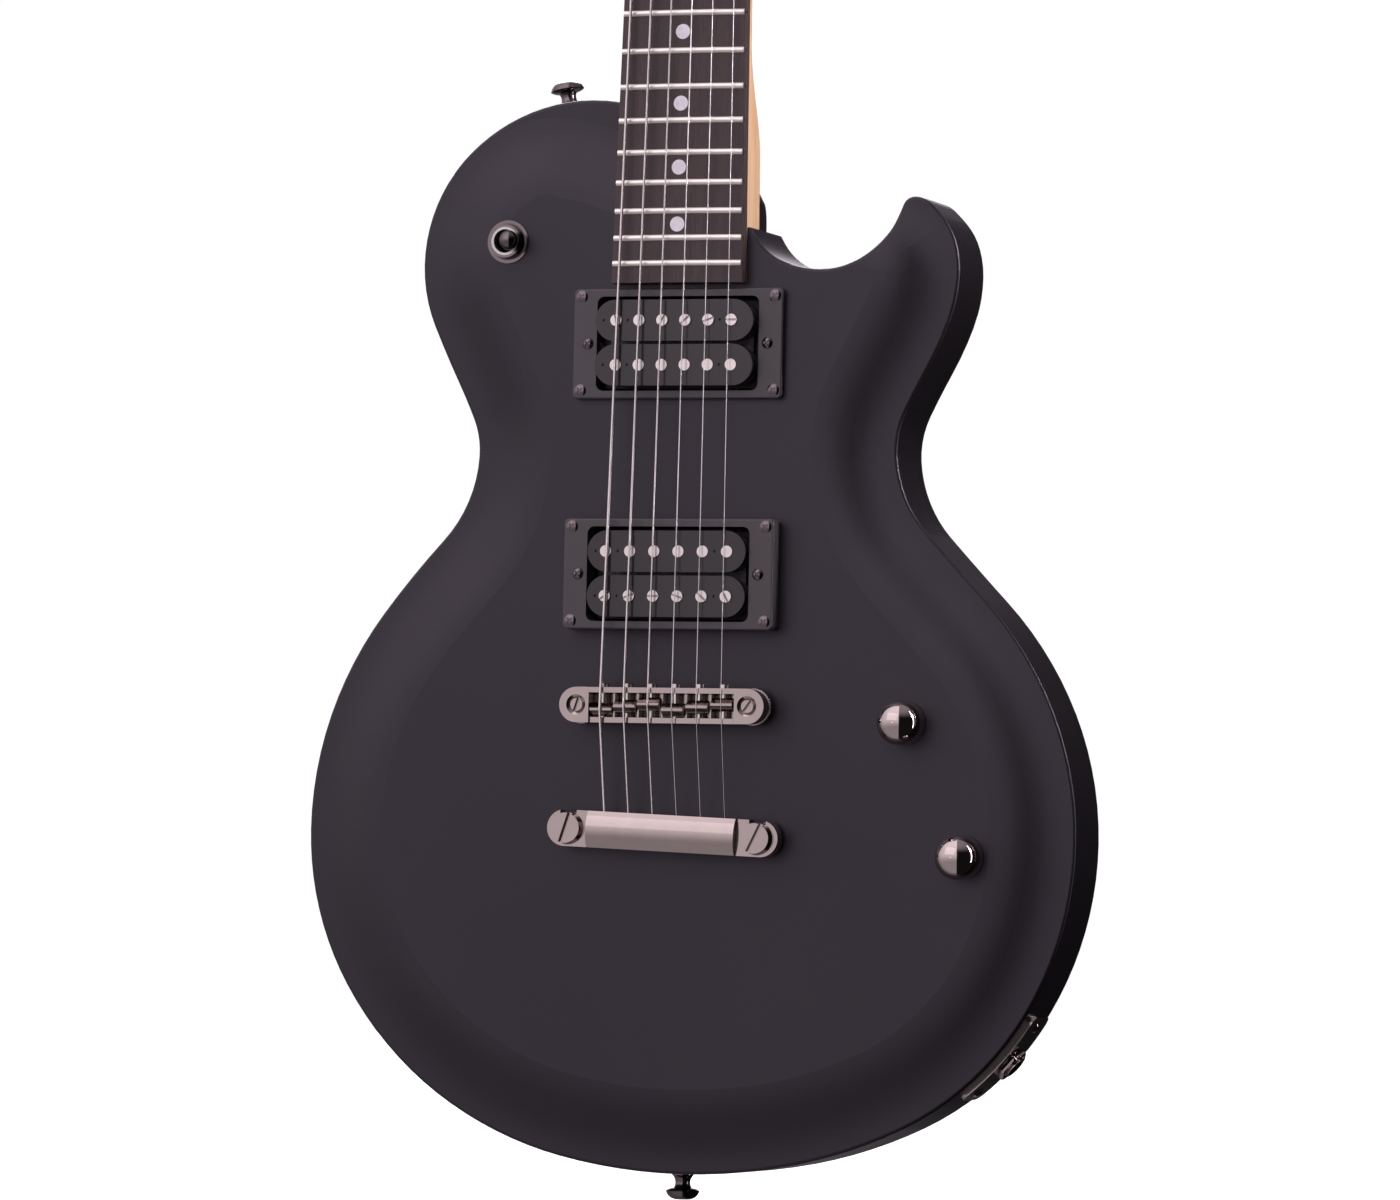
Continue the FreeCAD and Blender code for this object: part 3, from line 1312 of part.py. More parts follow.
def make_height_screws():
    screws = []
    for name, (line, height, top, *_) in PICKUPS.items():
        for side, place in zip("ab", HEIGHT_SCREWS):
            screws.append(cross_screw(f"{name}_height_screw_{side}",
                                      Vector(place.x, -height, line), FRONT,
                                      2.4, 1.0, 1.4, height + baseplate_top(top) + 8.0))
    finish(group("pickup_height_screws", screws), "pickup_height_screws")


def make_springs():
    """Compression springs that push each foot away from the ring."""
    springs = []
    for _, (line, _, top, *_) in PICKUPS.items():
        length = baseplate_top(top) + 6.0 - BASE_HEIGHT - 1.2
        for place in HEIGHT_SCREWS:
            helix = Part.makeHelix((length - 1.0) / 5, length - 1.0, 2.1)
            section = Part.Wire([Part.makeCircle(0.3, Vector(2.1, 0, 0), Vector(0, 1, 0))])
            coil = Part.Wire(helix.Edges).makePipeShell([section], True, True)
            coil.Placement = Placement(Vector(place.x, 1.1, line), facing(BACK))
            springs.append(coil)
    finish(shaped("pickup_height_springs", Part.makeCompound(springs)), "pickup_height_springs")


# ---------------------------------------------------------------- controls

SWITCH_PIVOT = 3.0
SWITCH_TOP = -4.5
SWITCH_BORE = 4.9


def make_switch_frame():
    """Bushing, bracket and two contact leaves of the lever switch."""
    wall = size("control_wall")
    bushing = rod("switch_bushing", "size.switch_bushing_diameter / 2", wall - SWITCH_TOP,
                  SWITCH + BACK * SWITCH_TOP, BACK)
    bore = rod("switch_bore", SWITCH_BORE, 40.0, SWITCH + FRONT * 6, BACK)
    bracket = block("switch_bracket", 26.0, 27.0, 16.0, SWITCH + BACK * (wall + 13.5))
    hollow = block("switch_hollow", 23.0, 26.0, 20.0, SWITCH + BACK * (wall + 14.7))
    frame = cut("switch_bracket_cut", fuse("switch_bracket_blank", [bracket, bushing]),
                [hollow, bore])
    leaves = [block(f"switch_leaf_{side + 1}", 0.4, 21.0, 6.0,
                    SWITCH + Vector(side * 9.5, wall + 13.3, 0)) for side in (-1, 1)]
    board = block("switch_board", 22.8, 3.0, 12.0, SWITCH + BACK * (wall + 25.3))
    finish(group("switch_frame", [frame, board] + leaves), "switch_frame")


def make_switch_nut():
    """Flat washer and round dress nut on the switch's bushing."""
    flange = rod("switch_flange", 8.95, 0.8, SWITCH, FRONT)
    ring = cone("switch_ring", 7.35, 6.9, 3.7, SWITCH + FRONT * 0.8, FRONT)
    hole = rod("switch_nut_hole", "size.switch_bushing_diameter / 2", 8.0,
               SWITCH + BACK, FRONT)
    finish(cut("switch_nut", fuse("switch_nut_blank", [flange, ring]), [hole]), "switch_nut")


def make_switch_lever():
    """A rod on a ball pivot with a round tip; it leans to the treble side at rest."""
    lean = math.radians(size("switch_rest_angle"))
    outward = Vector(math.sin(lean), -math.cos(lean), 0)
    pivot = SWITCH + BACK * SWITCH_PIVOT
    stem = rod("lever_stem", 1.5, 22.0, pivot - outward * 12.0, outward)
    ball = doc.addObject("Part::Sphere", "lever_ball")
    ball.Radius = SWITCH_BORE - size("running_gap")
    ball.Placement.Base = pivot
    tip = doc.addObject("Part::Sphere", "lever_tip")
    tip.Radius = 4.0
    tip.Placement.Base = pivot + outward * 12.0
    finish(fuse("switch_lever", [stem, ball, tip]), "switch_lever")


def make_knob(label, place):
    """A domed knob on the shaft of its potentiometer, with the wiper disc at the far end."""
    radius, height = size("knob_diameter") / 2, size("knob_height")
    base, bore, recess = 0.7, size("shaft_diameter") / 2, 7.6
    straight = height - radius
    dome = radius * math.sqrt(0.5)
    corner = Vector(radius, straight, 0)
    profile = [Part.LineSegment(Vector(recess, base, 0), Vector(radius, base, 0)),
               Part.LineSegment(Vector(radius, base, 0), corner),
               Part.Arc(corner, Vector(dome, straight + dome, 0), Vector(0, height, 0)),
               Part.LineSegment(Vector(0, height, 0), Vector(0, height - 4.0, 0)),
               Part.LineSegment(Vector(0, height - 4.0, 0), Vector(bore, height - 4.0, 0)),
               Part.LineSegment(Vector(bore, height - 4.0, 0), Vector(bore, 4.4, 0)),
               Part.LineSegment(Vector(bore, 4.4, 0), Vector(recess, 4.4, 0)),
               Part.LineSegment(Vector(recess, 4.4, 0), Vector(recess, base, 0))]
    knob = turned(f"{label}_shell", profile, place, FRONT)
    inside = size("control_wall") + 3.0
    shaft = rod(f"{label}_shaft", "size.shaft_diameter / 2", height - 4.0 + inside,
                place + BACK * inside, FRONT)
    wiper = rod(f"{label}_wiper", 8.0, 1.5, place + BACK * inside, FRONT)
    finish(group(label, [knob, fuse(f"{label}_spindle", [shaft, wiper])]), label)


POT_TOP = -3.6


def make_pots():
    """Cans with a threaded bushing through the wood, and a strip of three lugs."""
    wall = size("control_wall")
    pots = []
    for name, place in (("volume", VOLUME), ("tone", TONE)):
        can = rod(f"{name}_can", 12.0, 9.0, place + BACK * wall, BACK)
        bushing = rod(f"{name}_bushing", 3.9, wall - POT_TOP + 0.5, place + BACK * POT_TOP, BACK)
        bore = rod(f"{name}_bore", "size.shaft_diameter / 2 + size.running_gap", 20.0,
                   place + FRONT * 6, BACK)
        chamber = rod(f"{name}_chamber", 11.0, 6.8, place + BACK * (wall + 1.2), BACK)
        shell = cut(f"{name}_shell", fuse(f"{name}_pot_blank", [can, bushing]), [bore, chamber])
        strip = block(f"{name}_lug_strip", 13.0, 1.5, 6.0, place + Vector(0, wall + 2.0, -15.0))
        lugs = [block(f"{name}_lug_{number}", 2.0, 0.5, 8.0,
                      place + Vector((number - 1) * 4.4, wall + 3.0, -19.0))
                for number in range(3)]
        pots += [shell, strip] + lugs
    finish(group("pots", pots), "pots")


def make_pot_nuts():
    nuts = []
    for name, place in (("volume", VOLUME), ("tone", TONE)):
        washer = rod(f"{name}_washer", 6.8, 0.7, place, FRONT)
        nut = plate(f"{name}_nut_blank", polygon([(place.x + x, place.z + z)
                                                 for x, z in hexagon(11.0)]), 2.2, -2.9)
        hole = rod(f"{name}_nut_hole", 3.9, 6.0, place + BACK, FRONT)
        nuts.append(cut(f"{name}_nut", fuse(f"{name}_nut_pair", [washer, nut]), [hole]))
    finish(group("pot_nuts", nuts), "pot_nuts")


CAPACITOR = Vector(110.0, 22.0, -42.0)


def make_capacitor():
    """A dipped film capacitor with its two leads."""
    body = plate("capacitor_pad", rounded_box(CAPACITOR.x, CAPACITOR.z, 13.0, 9.0, 3.0),
                 4.5, CAPACITOR.y)
    soften(body, 1.2, lambda edge: edge.BoundBox.YLength < 0.01)
    leads = [rod(f"capacitor_lead_{side + 1}", 0.35, 7.0,
                 CAPACITOR + Vector(side * 4.0, 2.2, -4.5), DOWN) for side in (-1, 1)]
    finish(group("tone_capacitor", [body] + leads), "tone_capacitor")


def make_covers():
    back, thick = size("body_depth") - size("cover_thickness"), "size.cover_thickness"
    gap = FIT
    outline = capsule_of(CONTROL_RADIUS + COVER_LAP - gap)
    for x, z in cover_screw_places(CONTROL_SCREWS, CONTROL_RADIUS):
        outline += circle(x, z, 1.4)
    finish(plate("control_cavity_cover", outline, thick, back), "control_cavity_cover")
    outline = circle(SWITCH.x, SWITCH.z, SWITCH_CAVITY_RADIUS + COVER_LAP - gap)
    for x, z in cover_screw_places(SWITCH_SCREWS, SWITCH_CAVITY_RADIUS):
        outline += circle(x, z, 1.4)
    finish(plate("switch_cavity_cover", outline, thick, back), "switch_cavity_cover")


def make_cover_screws():
    """The small screws of the rear covers, the jack's plate and the truss rod's cover."""
    back = size("body_depth")
    places = [(Vector(x, back, z), BACK) for x, z in all_cover_screws()]
    places += [(place + outward * 1.6, outward) for place, outward in jack_screw_places()]
    head_out = HEAD.Rotation.multVec(FRONT)
    places += [(HEAD.multVec(Vector(x, -1.8, z)), head_out) for x, z in TRUSS_COVER_SCREWS]
    screws = []
    for number, (place, outward) in enumerate(places, start=1):
        short = number > len(places) - len(TRUSS_COVER_SCREWS)
        radius, length = (1.1, 1.7) if short else (1.2, 10.0)
        screws.append(cross_screw(f"cover_screw_{number}", place, outward, 2.5, 1.0,
                                  radius, length))
    finish(group("cover_screws", screws), "cover_screws")


# ---------------------------------------------------------------- output jack, buttons

def jack_turn():
    """A front view laid on the rim: its X runs along the rim, its depth points outwards."""
    along = JACK_OUT.cross(BACK)
    return Rotation(along, JACK_OUT, along.cross(JACK_OUT), "XYZ")


def make_jack_plate():
    """A plate bent to the rim's curve, with rounded corners and a hole for the jack."""
    thick = 1.6
    length, width = size("jack_plate_length"), size("jack_plate_width")
    centre = JACK_CENTRE - BACK * (width / 2)
    outer = rod("jack_plate_outer", JACK_RIM_RADIUS + thick, width, centre, BACK)
    inner = rod("jack_plate_inner", JACK_RIM_RADIUS, width + 2, centre - BACK, BACK)
    shell = cut("jack_plate_shell", outer, [inner])
    facing_out = Placement(JACK - JACK_OUT * 10.0, jack_turn())
    card = plate("jack_plate_card", rounded_box(0, 0, length, width, 4.0), 20.0)
    card.Placement = facing_out
    hole = rod("jack_plate_hole", 4.8, 20.0, JACK - JACK_OUT * 10.0, JACK_OUT)
    holes = [rod(f"jack_plate_screw_{number}", 1.3, 20.0, place - outward * 10, outward)
             for number, (place, outward) in enumerate(jack_screw_places(), start=1)]
    finish(cut("jack_plate", common("jack_plate_blank", shell, card), [hole] + holes),
           "jack_plate")


def make_output_jack():
    """Threaded bushing and nut outside, a barrel with a contact spring inside."""
    bore = "size.plug_hole_diameter / 2"
    bushing = rod("jack_bushing", 4.7, 12.0, JACK + JACK_OUT * 5.0, -JACK_OUT)
    nut_disc = rod("jack_nut", 6.6, 2.6, JACK + JACK_OUT * 1.6, JACK_OUT)
    barrel = rod("jack_barrel", 8.0, 24.0, JACK - JACK_OUT * 1.0, -JACK_OUT)
    chamber = rod("jack_chamber", 6.2, 21.0, JACK - JACK_OUT * 2.6, -JACK_OUT)
    hole = rod("jack_hole", bore, 14.0, JACK + JACK_OUT * 6.0, -JACK_OUT)
    shell = cut("jack_shell", fuse("jack_blank", [bushing, nut_disc, barrel]), [chamber, hole])
    spring = block("jack_spring", 0.4, 18.0, 4.0, Vector())
    place = JACK - JACK_OUT * 12.5 + JACK_OUT.cross(BACK) * 5.0
    spring.Placement = Placement(place, jack_turn()) * spring.Placement
    finish(group("output_jack", [shell, spring]), "output_jack")


def make_strap_buttons():
    """Mushroom buttons, each held by a wood screw through its middle."""
    cap, flare, waist, seat = size("button_diameter") / 2, 4.5, 3.15, 9.6
    solids = []
    for number, (place, outward) in enumerate(BUTTONS, start=1):
        unit = Vector(outward).normalize()
        profile = [Part.LineSegment(Vector(2.0, 0, 0), Vector(flare, 0, 0)),
                   Part.LineSegment(Vector(flare, 0, 0), Vector(flare, 0.8, 0)),
                   Part.Arc(Vector(flare, 0.8, 0), Vector(waist, 3.2, 0),
                            Vector(waist + 0.6, 6.2, 0)),
                   Part.Arc(Vector(waist + 0.6, 6.2, 0), Vector(5.4, 6.5, 0),
                            Vector(cap, 7.4, 0)),
                   Part.Arc(Vector(cap, 7.4, 0), Vector(5.4, 9.9, 0), Vector(3.2, 10.9, 0)),
                   Part.LineSegment(Vector(3.2, 10.9, 0), Vector(2.0, seat, 0)),
                   Part.LineSegment(Vector(2.0, seat, 0), Vector(2.0, 0, 0))]
        solids.append(turned(f"button_{number}", profile, place, unit))
        shank = rod(f"button_shank_{number}", 2.0, 25.0 + seat, place - unit * 25.0, unit)
        head = cone(f"button_head_{number}", 2.0, 3.1, 1.2, place + unit * seat, unit)
        slots = [block(f"button_slot_{number}_{turn}", 4.2, 0.9, 1.6, Vector())
                 for turn in range(2)]
        for turn, slot in enumerate(slots):
            spin = facing(unit) * Rotation(UP, 90 * turn)
            corner = Placement(Vector(-2.1, -0.45, -0.8), Rotation())
            slot.Placement = Placement(place + unit * (seat + 1.2), spin) * corner
        solids.append(cut(f"button_screw_{number}",
                          fuse(f"button_screw_blank_{number}", [shank, head]), slots))
    finish(group("strap_buttons", solids), "strap_buttons")


def make_wiring():
    """Wires from the switch past both pickups to the controls, and on to the jack."""
    wall, deep = size("control_wall"), WIRE_DEPTH
    under = [baseplate_top(PICKUPS[name][2]) + BASE_HEIGHT for name in ("neck", "bridge")]
    lug_depth, lug_end = wall + 3.0, VOLUME.z - 23.0
    tail, inward = JACK - JACK_OUT * 25.0, -JACK_OUT
    pickup_wires = [
        [(-20, under[0], 146.7), (-20, deep, 146.7), (-66, deep, 177.3), (-71, 33.3, 168),
         (-71, 33.3, SWITCH.z - 6.0)],
        [(20, under[0], 137), (20, deep, 137), (20, deep, 50), (20, under[1], 50)],
        [(20, under[1], 45), (20, deep, 45), (84, deep, -0.7), (84, 21, -20),
         (95.8, 21, -42), (95.8, lug_depth, -42), (95.8, lug_depth, lug_end)]]
    wires = [tube([Vector(*point) for point in route], 1.1, 5.0) for route in pickup_wires]
    jack_wire = [Vector(104.6, lug_depth, lug_end), Vector(104.6, lug_depth, lug_end - 8),
                 Vector(112, 30, -66), Vector(112, 30, -90), tail + inward * 18.0, tail]
    wires.append(tube(jack_wire, 0.9, 5.0))
    finish(shaped("wiring", Part.makeCompound(wires)), "wiring")


# ---------------------------------------------------------------- tuners

HOUSING_DEPTH, HOUSING_WIDTH, HOUSING_LENGTH = 11.0, 15.0, 19.0
GEAR_RADIUS, WORM_RADIUS = 4.6, 2.4
GEAR_DEPTH = 5.0
BUTTON_REACH = 30.0


def tuner_axis(side, number):
    """Axis of a tuner's button: above the post by a gear and a worm radius."""
    place = tuner_place(side, number)
    back = size("head_thickness") + GEAR_DEPTH
    return Vector(place.x, back, place.z + GEAR_RADIUS + WORM_RADIUS + 0.1)


def tuner_number(side, number):
    """Tuners are numbered like the strings that they hold, 1 being the lowest string."""
    return number + 1 if side < 0 else 6 - number


def make_tuner_housings():
    back = size("head_thickness")
    gap = size("running_gap")
    housings = []
    for side, number in TUNERS:
        key = tuner_number(side, number)
        place, axis = tuner_place(side, number), tuner_axis(side, number)
        case = plate(f"housing_case_{key}",
                     rounded_box(place.x, place.z + 2.5, HOUSING_WIDTH, HOUSING_LENGTH, 4.0),
                     HOUSING_DEPTH, back)
        soften(case, 1.8, lambda edge: edge.BoundBox.YMin > back + HOUSING_DEPTH - 0.01)
        neck_tube = rod(f"housing_tube_{key}", 3.6, HOUSING_WIDTH / 2 + 3.0, axis,
                        TREBLE * side)
        gear_room = rod(f"housing_gear_room_{key}", GEAR_RADIUS + 0.3, 4.4,
                        place + BACK * (back + GEAR_DEPTH - 2.2), BACK)
        post_hole = rod(f"housing_post_hole_{key}", "size.tuner_post_diameter / 2 + 0.05",
                        GEAR_DEPTH + 1, place + BACK * (back - 1), BACK)
        worm_room = rod(f"housing_worm_room_{key}", WORM_RADIUS + 0.3, 10.6,
                        axis - TREBLE * (5.3 * side), TREBLE * side)
        shaft_hole = rod(f"housing_shaft_hole_{key}", 1.75 + gap, 20.0, axis, TREBLE * side)
        housings.append(cut(f"housing_{key}", fuse(f"housing_blank_{key}", [case, neck_tube]),
                            [gear_room, post_hole, worm_room, shaft_hole]))
    finish(group("tuner_housings", housings), "tuner_housings", HEAD)


def make_tuner_bushings():
    """Hex-headed bushings and washers on the headstock's face, round each post."""
    bushings = []
    for side, number in TUNERS:
        key = tuner_number(side, number)
        place = tuner_place(side, number)
        hexa = plate(f"tuner_hex_{key}", polygon([(place.x + x, place.z + z)
                                                 for x, z in hexagon(10.0)]), 2.2, -3.0)
        washer = rod(f"tuner_washer_{key}", 6.8, 0.8, place, FRONT)
        sleeve = rod(f"tuner_sleeve_{key}", 4.95, 8.0, place, BACK)
        hole = rod(f"tuner_sleeve_hole_{key}", "size.tuner_post_diameter / 2 + size.running_gap",
                   16.0, place + FRONT * 5, BACK)
        bushings.append(cut(f"tuner_bushing_{key}",
                            fuse(f"tuner_bushing_blank_{key}", [hexa, washer, sleeve]), [hole]))
    finish(group("tuner_bushings", bushings), "tuner_bushings", HEAD)


def make_tuner_posts():
    """A post with a waist for the string and a worm wheel at its lower end."""
    back, top = size("head_thickness"), -14.5
    for side, number in TUNERS:
        key = tuner_number(side, number)
        place = tuner_place(side, number)
        gear_middle = back + GEAR_DEPTH
        shaft = rod(f"post_shaft_{key}", "size.tuner_post_diameter / 2",
                    gear_middle - top + 1.9, place + BACK * top, BACK)
        wheel = rod(f"post_wheel_{key}", GEAR_RADIUS, 3.8, place + BACK * (gear_middle - 1.9),
                    BACK)
        tools = [rod(f"post_string_hole_{key}", 1.0, 8.0,
                     place + Vector(0, -STRING_POST_HEIGHT - 1.6, -4.0), UP)]
        for tooth in range(int(size("gear_ratio"))):
            angle = math.radians(360.0 * tooth / size("gear_ratio") + 12.0)
            groove = place + Vector(math.cos(angle), 0, math.sin(angle)) * GEAR_RADIUS
            tools.append(rod(f"post_tooth_gap_{key}_{tooth}", 0.45, 6.0,
                             groove + BACK * (gear_middle - 3), BACK))
        post = cut(f"tuner_post_{key}", fuse(f"post_blank_{key}", [shaft, wheel]), tools)
        finish(post, f"tuner_post_{key}", HEAD)


def make_tuner_buttons():
    """A worm on a shaft, with an oval finger button on its outer end."""
    for side, number in TUNERS:
        key = tuner_number(side, number)
        axis = tuner_axis(side, number)
        outward = TREBLE * side
        worm = rod(f"worm_{key}", WORM_RADIUS, 10.0, axis - outward * 5.0, outward)
        shaft = rod(f"button_shaft_{key}", 1.75, 22.0, axis, outward)
        grip = plate(f"button_grip_{key}",
                     slot_outline(0, 17.0, 11.0), 7.0, -3.5)
        soften(grip, 2.4, lambda edge: edge.BoundBox.YLength < 0.01)
        grip.Placement = Placement(axis + outward * 24.5, Rotation(BACK, 90))
        stem = cone(f"button_stem_{key}", 3.0, 2.4, 5.0, axis + outward * 15.5, outward)
        screw = rod(f"button_end_screw_{key}", 2.0, 0.8, axis + outward * 30.0, outward)
        solid = fuse(f"tuner_button_{key}", [worm, shaft, stem, grip, screw])
        finish(solid, f"tuner_button_{key}", HEAD)


# ---------------------------------------------------------------- building and writing

def build():
    make_body()
    make_neck()
    make_fretboard()
    make_dots()
    make_frets()
    make_strings()
    make_nut()
    make_truss_rod()
    make_truss_rod_cover()
    make_neck_plate()
    make_neck_screws()
    make_bridge_frame()
    make_saddles()
    make_intonation_screws()
    make_bridge_posts()
    make_thumbwheels()
    make_bushings()
    make_tailpiece()
    make_tail_studs()
    make_rings()
    make_ring_screws()
    make_bobbins()
    make_coils()
    make_poles()
    make_magnets()
    make_baseplates()
    make_height_screws()
    make_springs()
    make_switch_frame()
    make_switch_nut()
    make_switch_lever()
    make_pots()
    make_pot_nuts()
    make_knob("volume_knob", VOLUME)
    make_knob("tone_knob", TONE)
    make_capacitor()
    make_covers()
    make_cover_screws()
    make_jack_plate()
    make_output_jack()
    make_strap_buttons()
    make_wiring()
    make_tuner_housings()
    make_tuner_bushings()
    make_tuner_posts()
    make_tuner_buttons()
    doc.recompute()


def check():
    broken = [f"{item.Name} {item.State}" for item in doc.Objects
              if {"Invalid", "Error"} & set(item.State)]
    for thing in nodes:
        shape = thing.Shape
        if shape.isNull() or not shape.isValid() or not shape.Solids:
            broken.append(f"{thing.Label} has no valid solid")
    if broken:
        raise RuntimeError("; ".join(broken))


def write():
    os.makedirs("parts", exist_ok=True)
    for thing in nodes:
        thing.Shape.exportStep(f"parts/{thing.Label}.step")
        solids = thing.Shape.Solids
        print(f"{thing.Label}: {len(solids)} solids, {thing.Shape.Volume:.0f} mm3")


build()
check()
write()
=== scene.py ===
import json
import math

import bmesh
import bpy
from mathutils import Matrix, Vector


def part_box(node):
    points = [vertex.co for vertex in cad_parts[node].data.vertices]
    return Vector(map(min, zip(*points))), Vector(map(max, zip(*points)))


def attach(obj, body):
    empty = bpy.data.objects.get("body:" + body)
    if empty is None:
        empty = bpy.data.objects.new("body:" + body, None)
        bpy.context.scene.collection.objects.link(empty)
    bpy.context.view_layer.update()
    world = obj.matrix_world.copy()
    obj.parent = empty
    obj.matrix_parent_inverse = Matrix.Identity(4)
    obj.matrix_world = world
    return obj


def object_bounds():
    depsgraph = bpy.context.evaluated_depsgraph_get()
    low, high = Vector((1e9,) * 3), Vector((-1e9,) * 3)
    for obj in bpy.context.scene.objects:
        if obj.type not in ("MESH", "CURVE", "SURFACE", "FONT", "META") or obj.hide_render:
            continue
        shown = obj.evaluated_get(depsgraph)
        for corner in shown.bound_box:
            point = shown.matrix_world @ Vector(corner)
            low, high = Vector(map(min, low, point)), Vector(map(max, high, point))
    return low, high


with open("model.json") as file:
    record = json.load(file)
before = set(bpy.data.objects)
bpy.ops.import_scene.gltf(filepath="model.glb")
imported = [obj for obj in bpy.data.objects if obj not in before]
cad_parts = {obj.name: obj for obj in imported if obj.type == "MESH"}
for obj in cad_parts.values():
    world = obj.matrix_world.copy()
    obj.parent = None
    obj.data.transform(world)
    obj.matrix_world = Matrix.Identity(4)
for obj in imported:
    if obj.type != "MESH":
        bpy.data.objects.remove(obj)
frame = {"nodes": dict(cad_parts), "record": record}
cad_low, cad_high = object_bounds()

# A black single-cutaway electric guitar, seen from its right-hand side.  The frame's axes:
# +X towards the treble side, -Y towards the viewer, +Z up the neck, in metres.

MM = 0.001
HANGER_HEIGHT = 642 * MM          # the frame's origin above the end of the scale
ROOT = "guitar"
NODES = frame["nodes"]


# ---------------------------------------------------------------- node helpers


class Shader:
    """A material's node tree with one Principled shader, built by short calls."""

    def __init__(self, name, color, roughness, metallic=0.0, **sockets):
        self.material = bpy.data.materials.new(name)
        self.material.use_nodes = True
        self.tree = self.material.node_tree
        self.bsdf = self.tree.nodes["Principled BSDF"]
        self.material.diffuse_color = (*color, 1.0)
        self.set("Base Color", (*color, 1.0))
        self.set("Roughness", roughness)
        self.set("Metallic", metallic)
        for socket, value in sockets.items():
            self.set(socket.replace("_", " "), value)
        self.coordinates = self.node("ShaderNodeTexCoord").outputs["Object"]

    def set(self, socket, value):
        self.bsdf.inputs[socket].default_value = value

    def node(self, kind, **values):
        made = self.tree.nodes.new(kind)
        for name, value in values.items():
            if name in made.inputs:
                made.inputs[name].default_value = value
            else:
                setattr(made, name, value)
        return made

    def link(self, output, target):
        self.tree.links.new(output, target)

    def stretched(self, scale):
        """The object's coordinates in metres, scaled by a factor for each axis."""
        mapping = self.node("ShaderNodeMapping", Scale=scale)
        self.link(self.coordinates, mapping.inputs["Vector"])
        return mapping.outputs["Vector"]

    def noise(self, scale, detail=3.0, rough=0.5, vector=None, warp=0.0):
        made = self.node("ShaderNodeTexNoise", Scale=scale, Detail=detail, Roughness=rough,
                         Distortion=warp)
        self.link(vector or self.coordinates, made.inputs["Vector"])
        return made.outputs["Fac"]

    def ramp(self, value, stops):
        """Two or three colours or grey levels at places from 0 to 1."""
        made = self.node("ShaderNodeValToRGB")
        ramp = made.color_ramp
        while len(ramp.elements) < len(stops):
            ramp.elements.new(0.5)
        for element, (place, color) in zip(ramp.elements, stops):
            element.position = place
            level = (color,) * 3 if isinstance(color, (int, float)) else color
            element.color = (*level, 1.0)
        self.link(value, made.inputs["Fac"])
        return made.outputs["Color"]

    def mixed(self, share, one, two, blend="MIX"):
        """One colour blended with another by a share; each is a colour or a node's output."""
        made = self.node("ShaderNodeMix", data_type="RGBA", blend_type=blend)
        for value, name in ((one, "A"), (two, "B")):
            socket = [item for item in made.inputs if item.name == name
                      and item.type == "RGBA"][0]
            self.plug(value, socket)
        self.plug(share, made.inputs["Factor"])
        return [item for item in made.outputs if item.type == "RGBA"][0]

    def plug(self, value, socket):
        """Give a socket a number, a colour or another node's output."""
        if isinstance(value, (int, float)):
            socket.default_value = value
        elif isinstance(value, tuple):
            socket.default_value = (*value, 1.0)
        else:
            self.link(value, socket)

    def level(self, value, low, high):
        """A value from 0 to 1 spread between two numbers."""
        made = self.node("ShaderNodeMapRange")
        made.inputs["To Min"].default_value = low
        made.inputs["To Max"].default_value = high
        self.link(value, made.inputs["Value"])
        return made.outputs["Result"]

    def above(self, value, limit):
        """1 where a value is above a limit, and 0 elsewhere."""
        made = self.node("ShaderNodeMath", operation="GREATER_THAN")
        made.inputs[1].default_value = limit
        self.link(value, made.inputs[0])
        return made.outputs[0]

    def head_face(self):
        """1 on the front of the headstock, past the nut, and 0 elsewhere."""
        nearly_front, past_nut = 0.93, -12 * MM
        facing = self.node("ShaderNodeVectorMath", operation="DOT_PRODUCT")
        self.link(self.node("ShaderNodeTexCoord").outputs["Normal"], facing.inputs[0])
        facing.inputs[1].default_value = (0, -1, 0)
        height = self.node("ShaderNodeSeparateXYZ")
        self.link(self.coordinates, height.inputs[0])
        both = self.node("ShaderNodeMath", operation="MULTIPLY")
        self.link(self.above(facing.outputs["Value"], nearly_front), both.inputs[0])
        self.link(self.above(height.outputs["Z"], past_nut), both.inputs[1])
        return both.outputs[0]

    def open_sky(self, distance):
        """How open the surface is within a distance: low in slots and corners."""
        made = self.node("ShaderNodeAmbientOcclusion", samples=8, only_local=True)
        made.inputs["Distance"].default_value = distance
        return made.outputs["AO"]

    def color(self, output):
        self.link(output, self.bsdf.inputs["Base Color"])

    def roughness(self, output):
        self.link(output, self.bsdf.inputs["Roughness"])

    def bump(self, height, distance, strength):
        made = self.node("ShaderNodeBump", Strength=strength, Distance=distance)
        self.link(height, made.inputs["Height"])
        self.link(made.outputs["Normal"], self.bsdf.inputs["Normal"])


# ---------------------------------------------------------------- materials


def black_lacquer():
    """Satin black lacquer with cloudy gloss and a faint orange peel."""
    shader = Shader("black_lacquer", (0.005, 0.004, 0.005), 0.4,
                    Specular_Tint=(0.94, 0.87, 1.0, 1.0))
    shader.color(shader.ramp(shader.noise(9, 4), [(0.3, (0.003, 0.002, 0.003)),
                                                  (0.7, (0.006, 0.005, 0.006))]))
    shader.roughness(shader.level(shader.noise(60, 5), 0.37, 0.44))
    shader.bump(shader.noise(700, 2), 0.02 * MM, 0.25)
    return shader.material


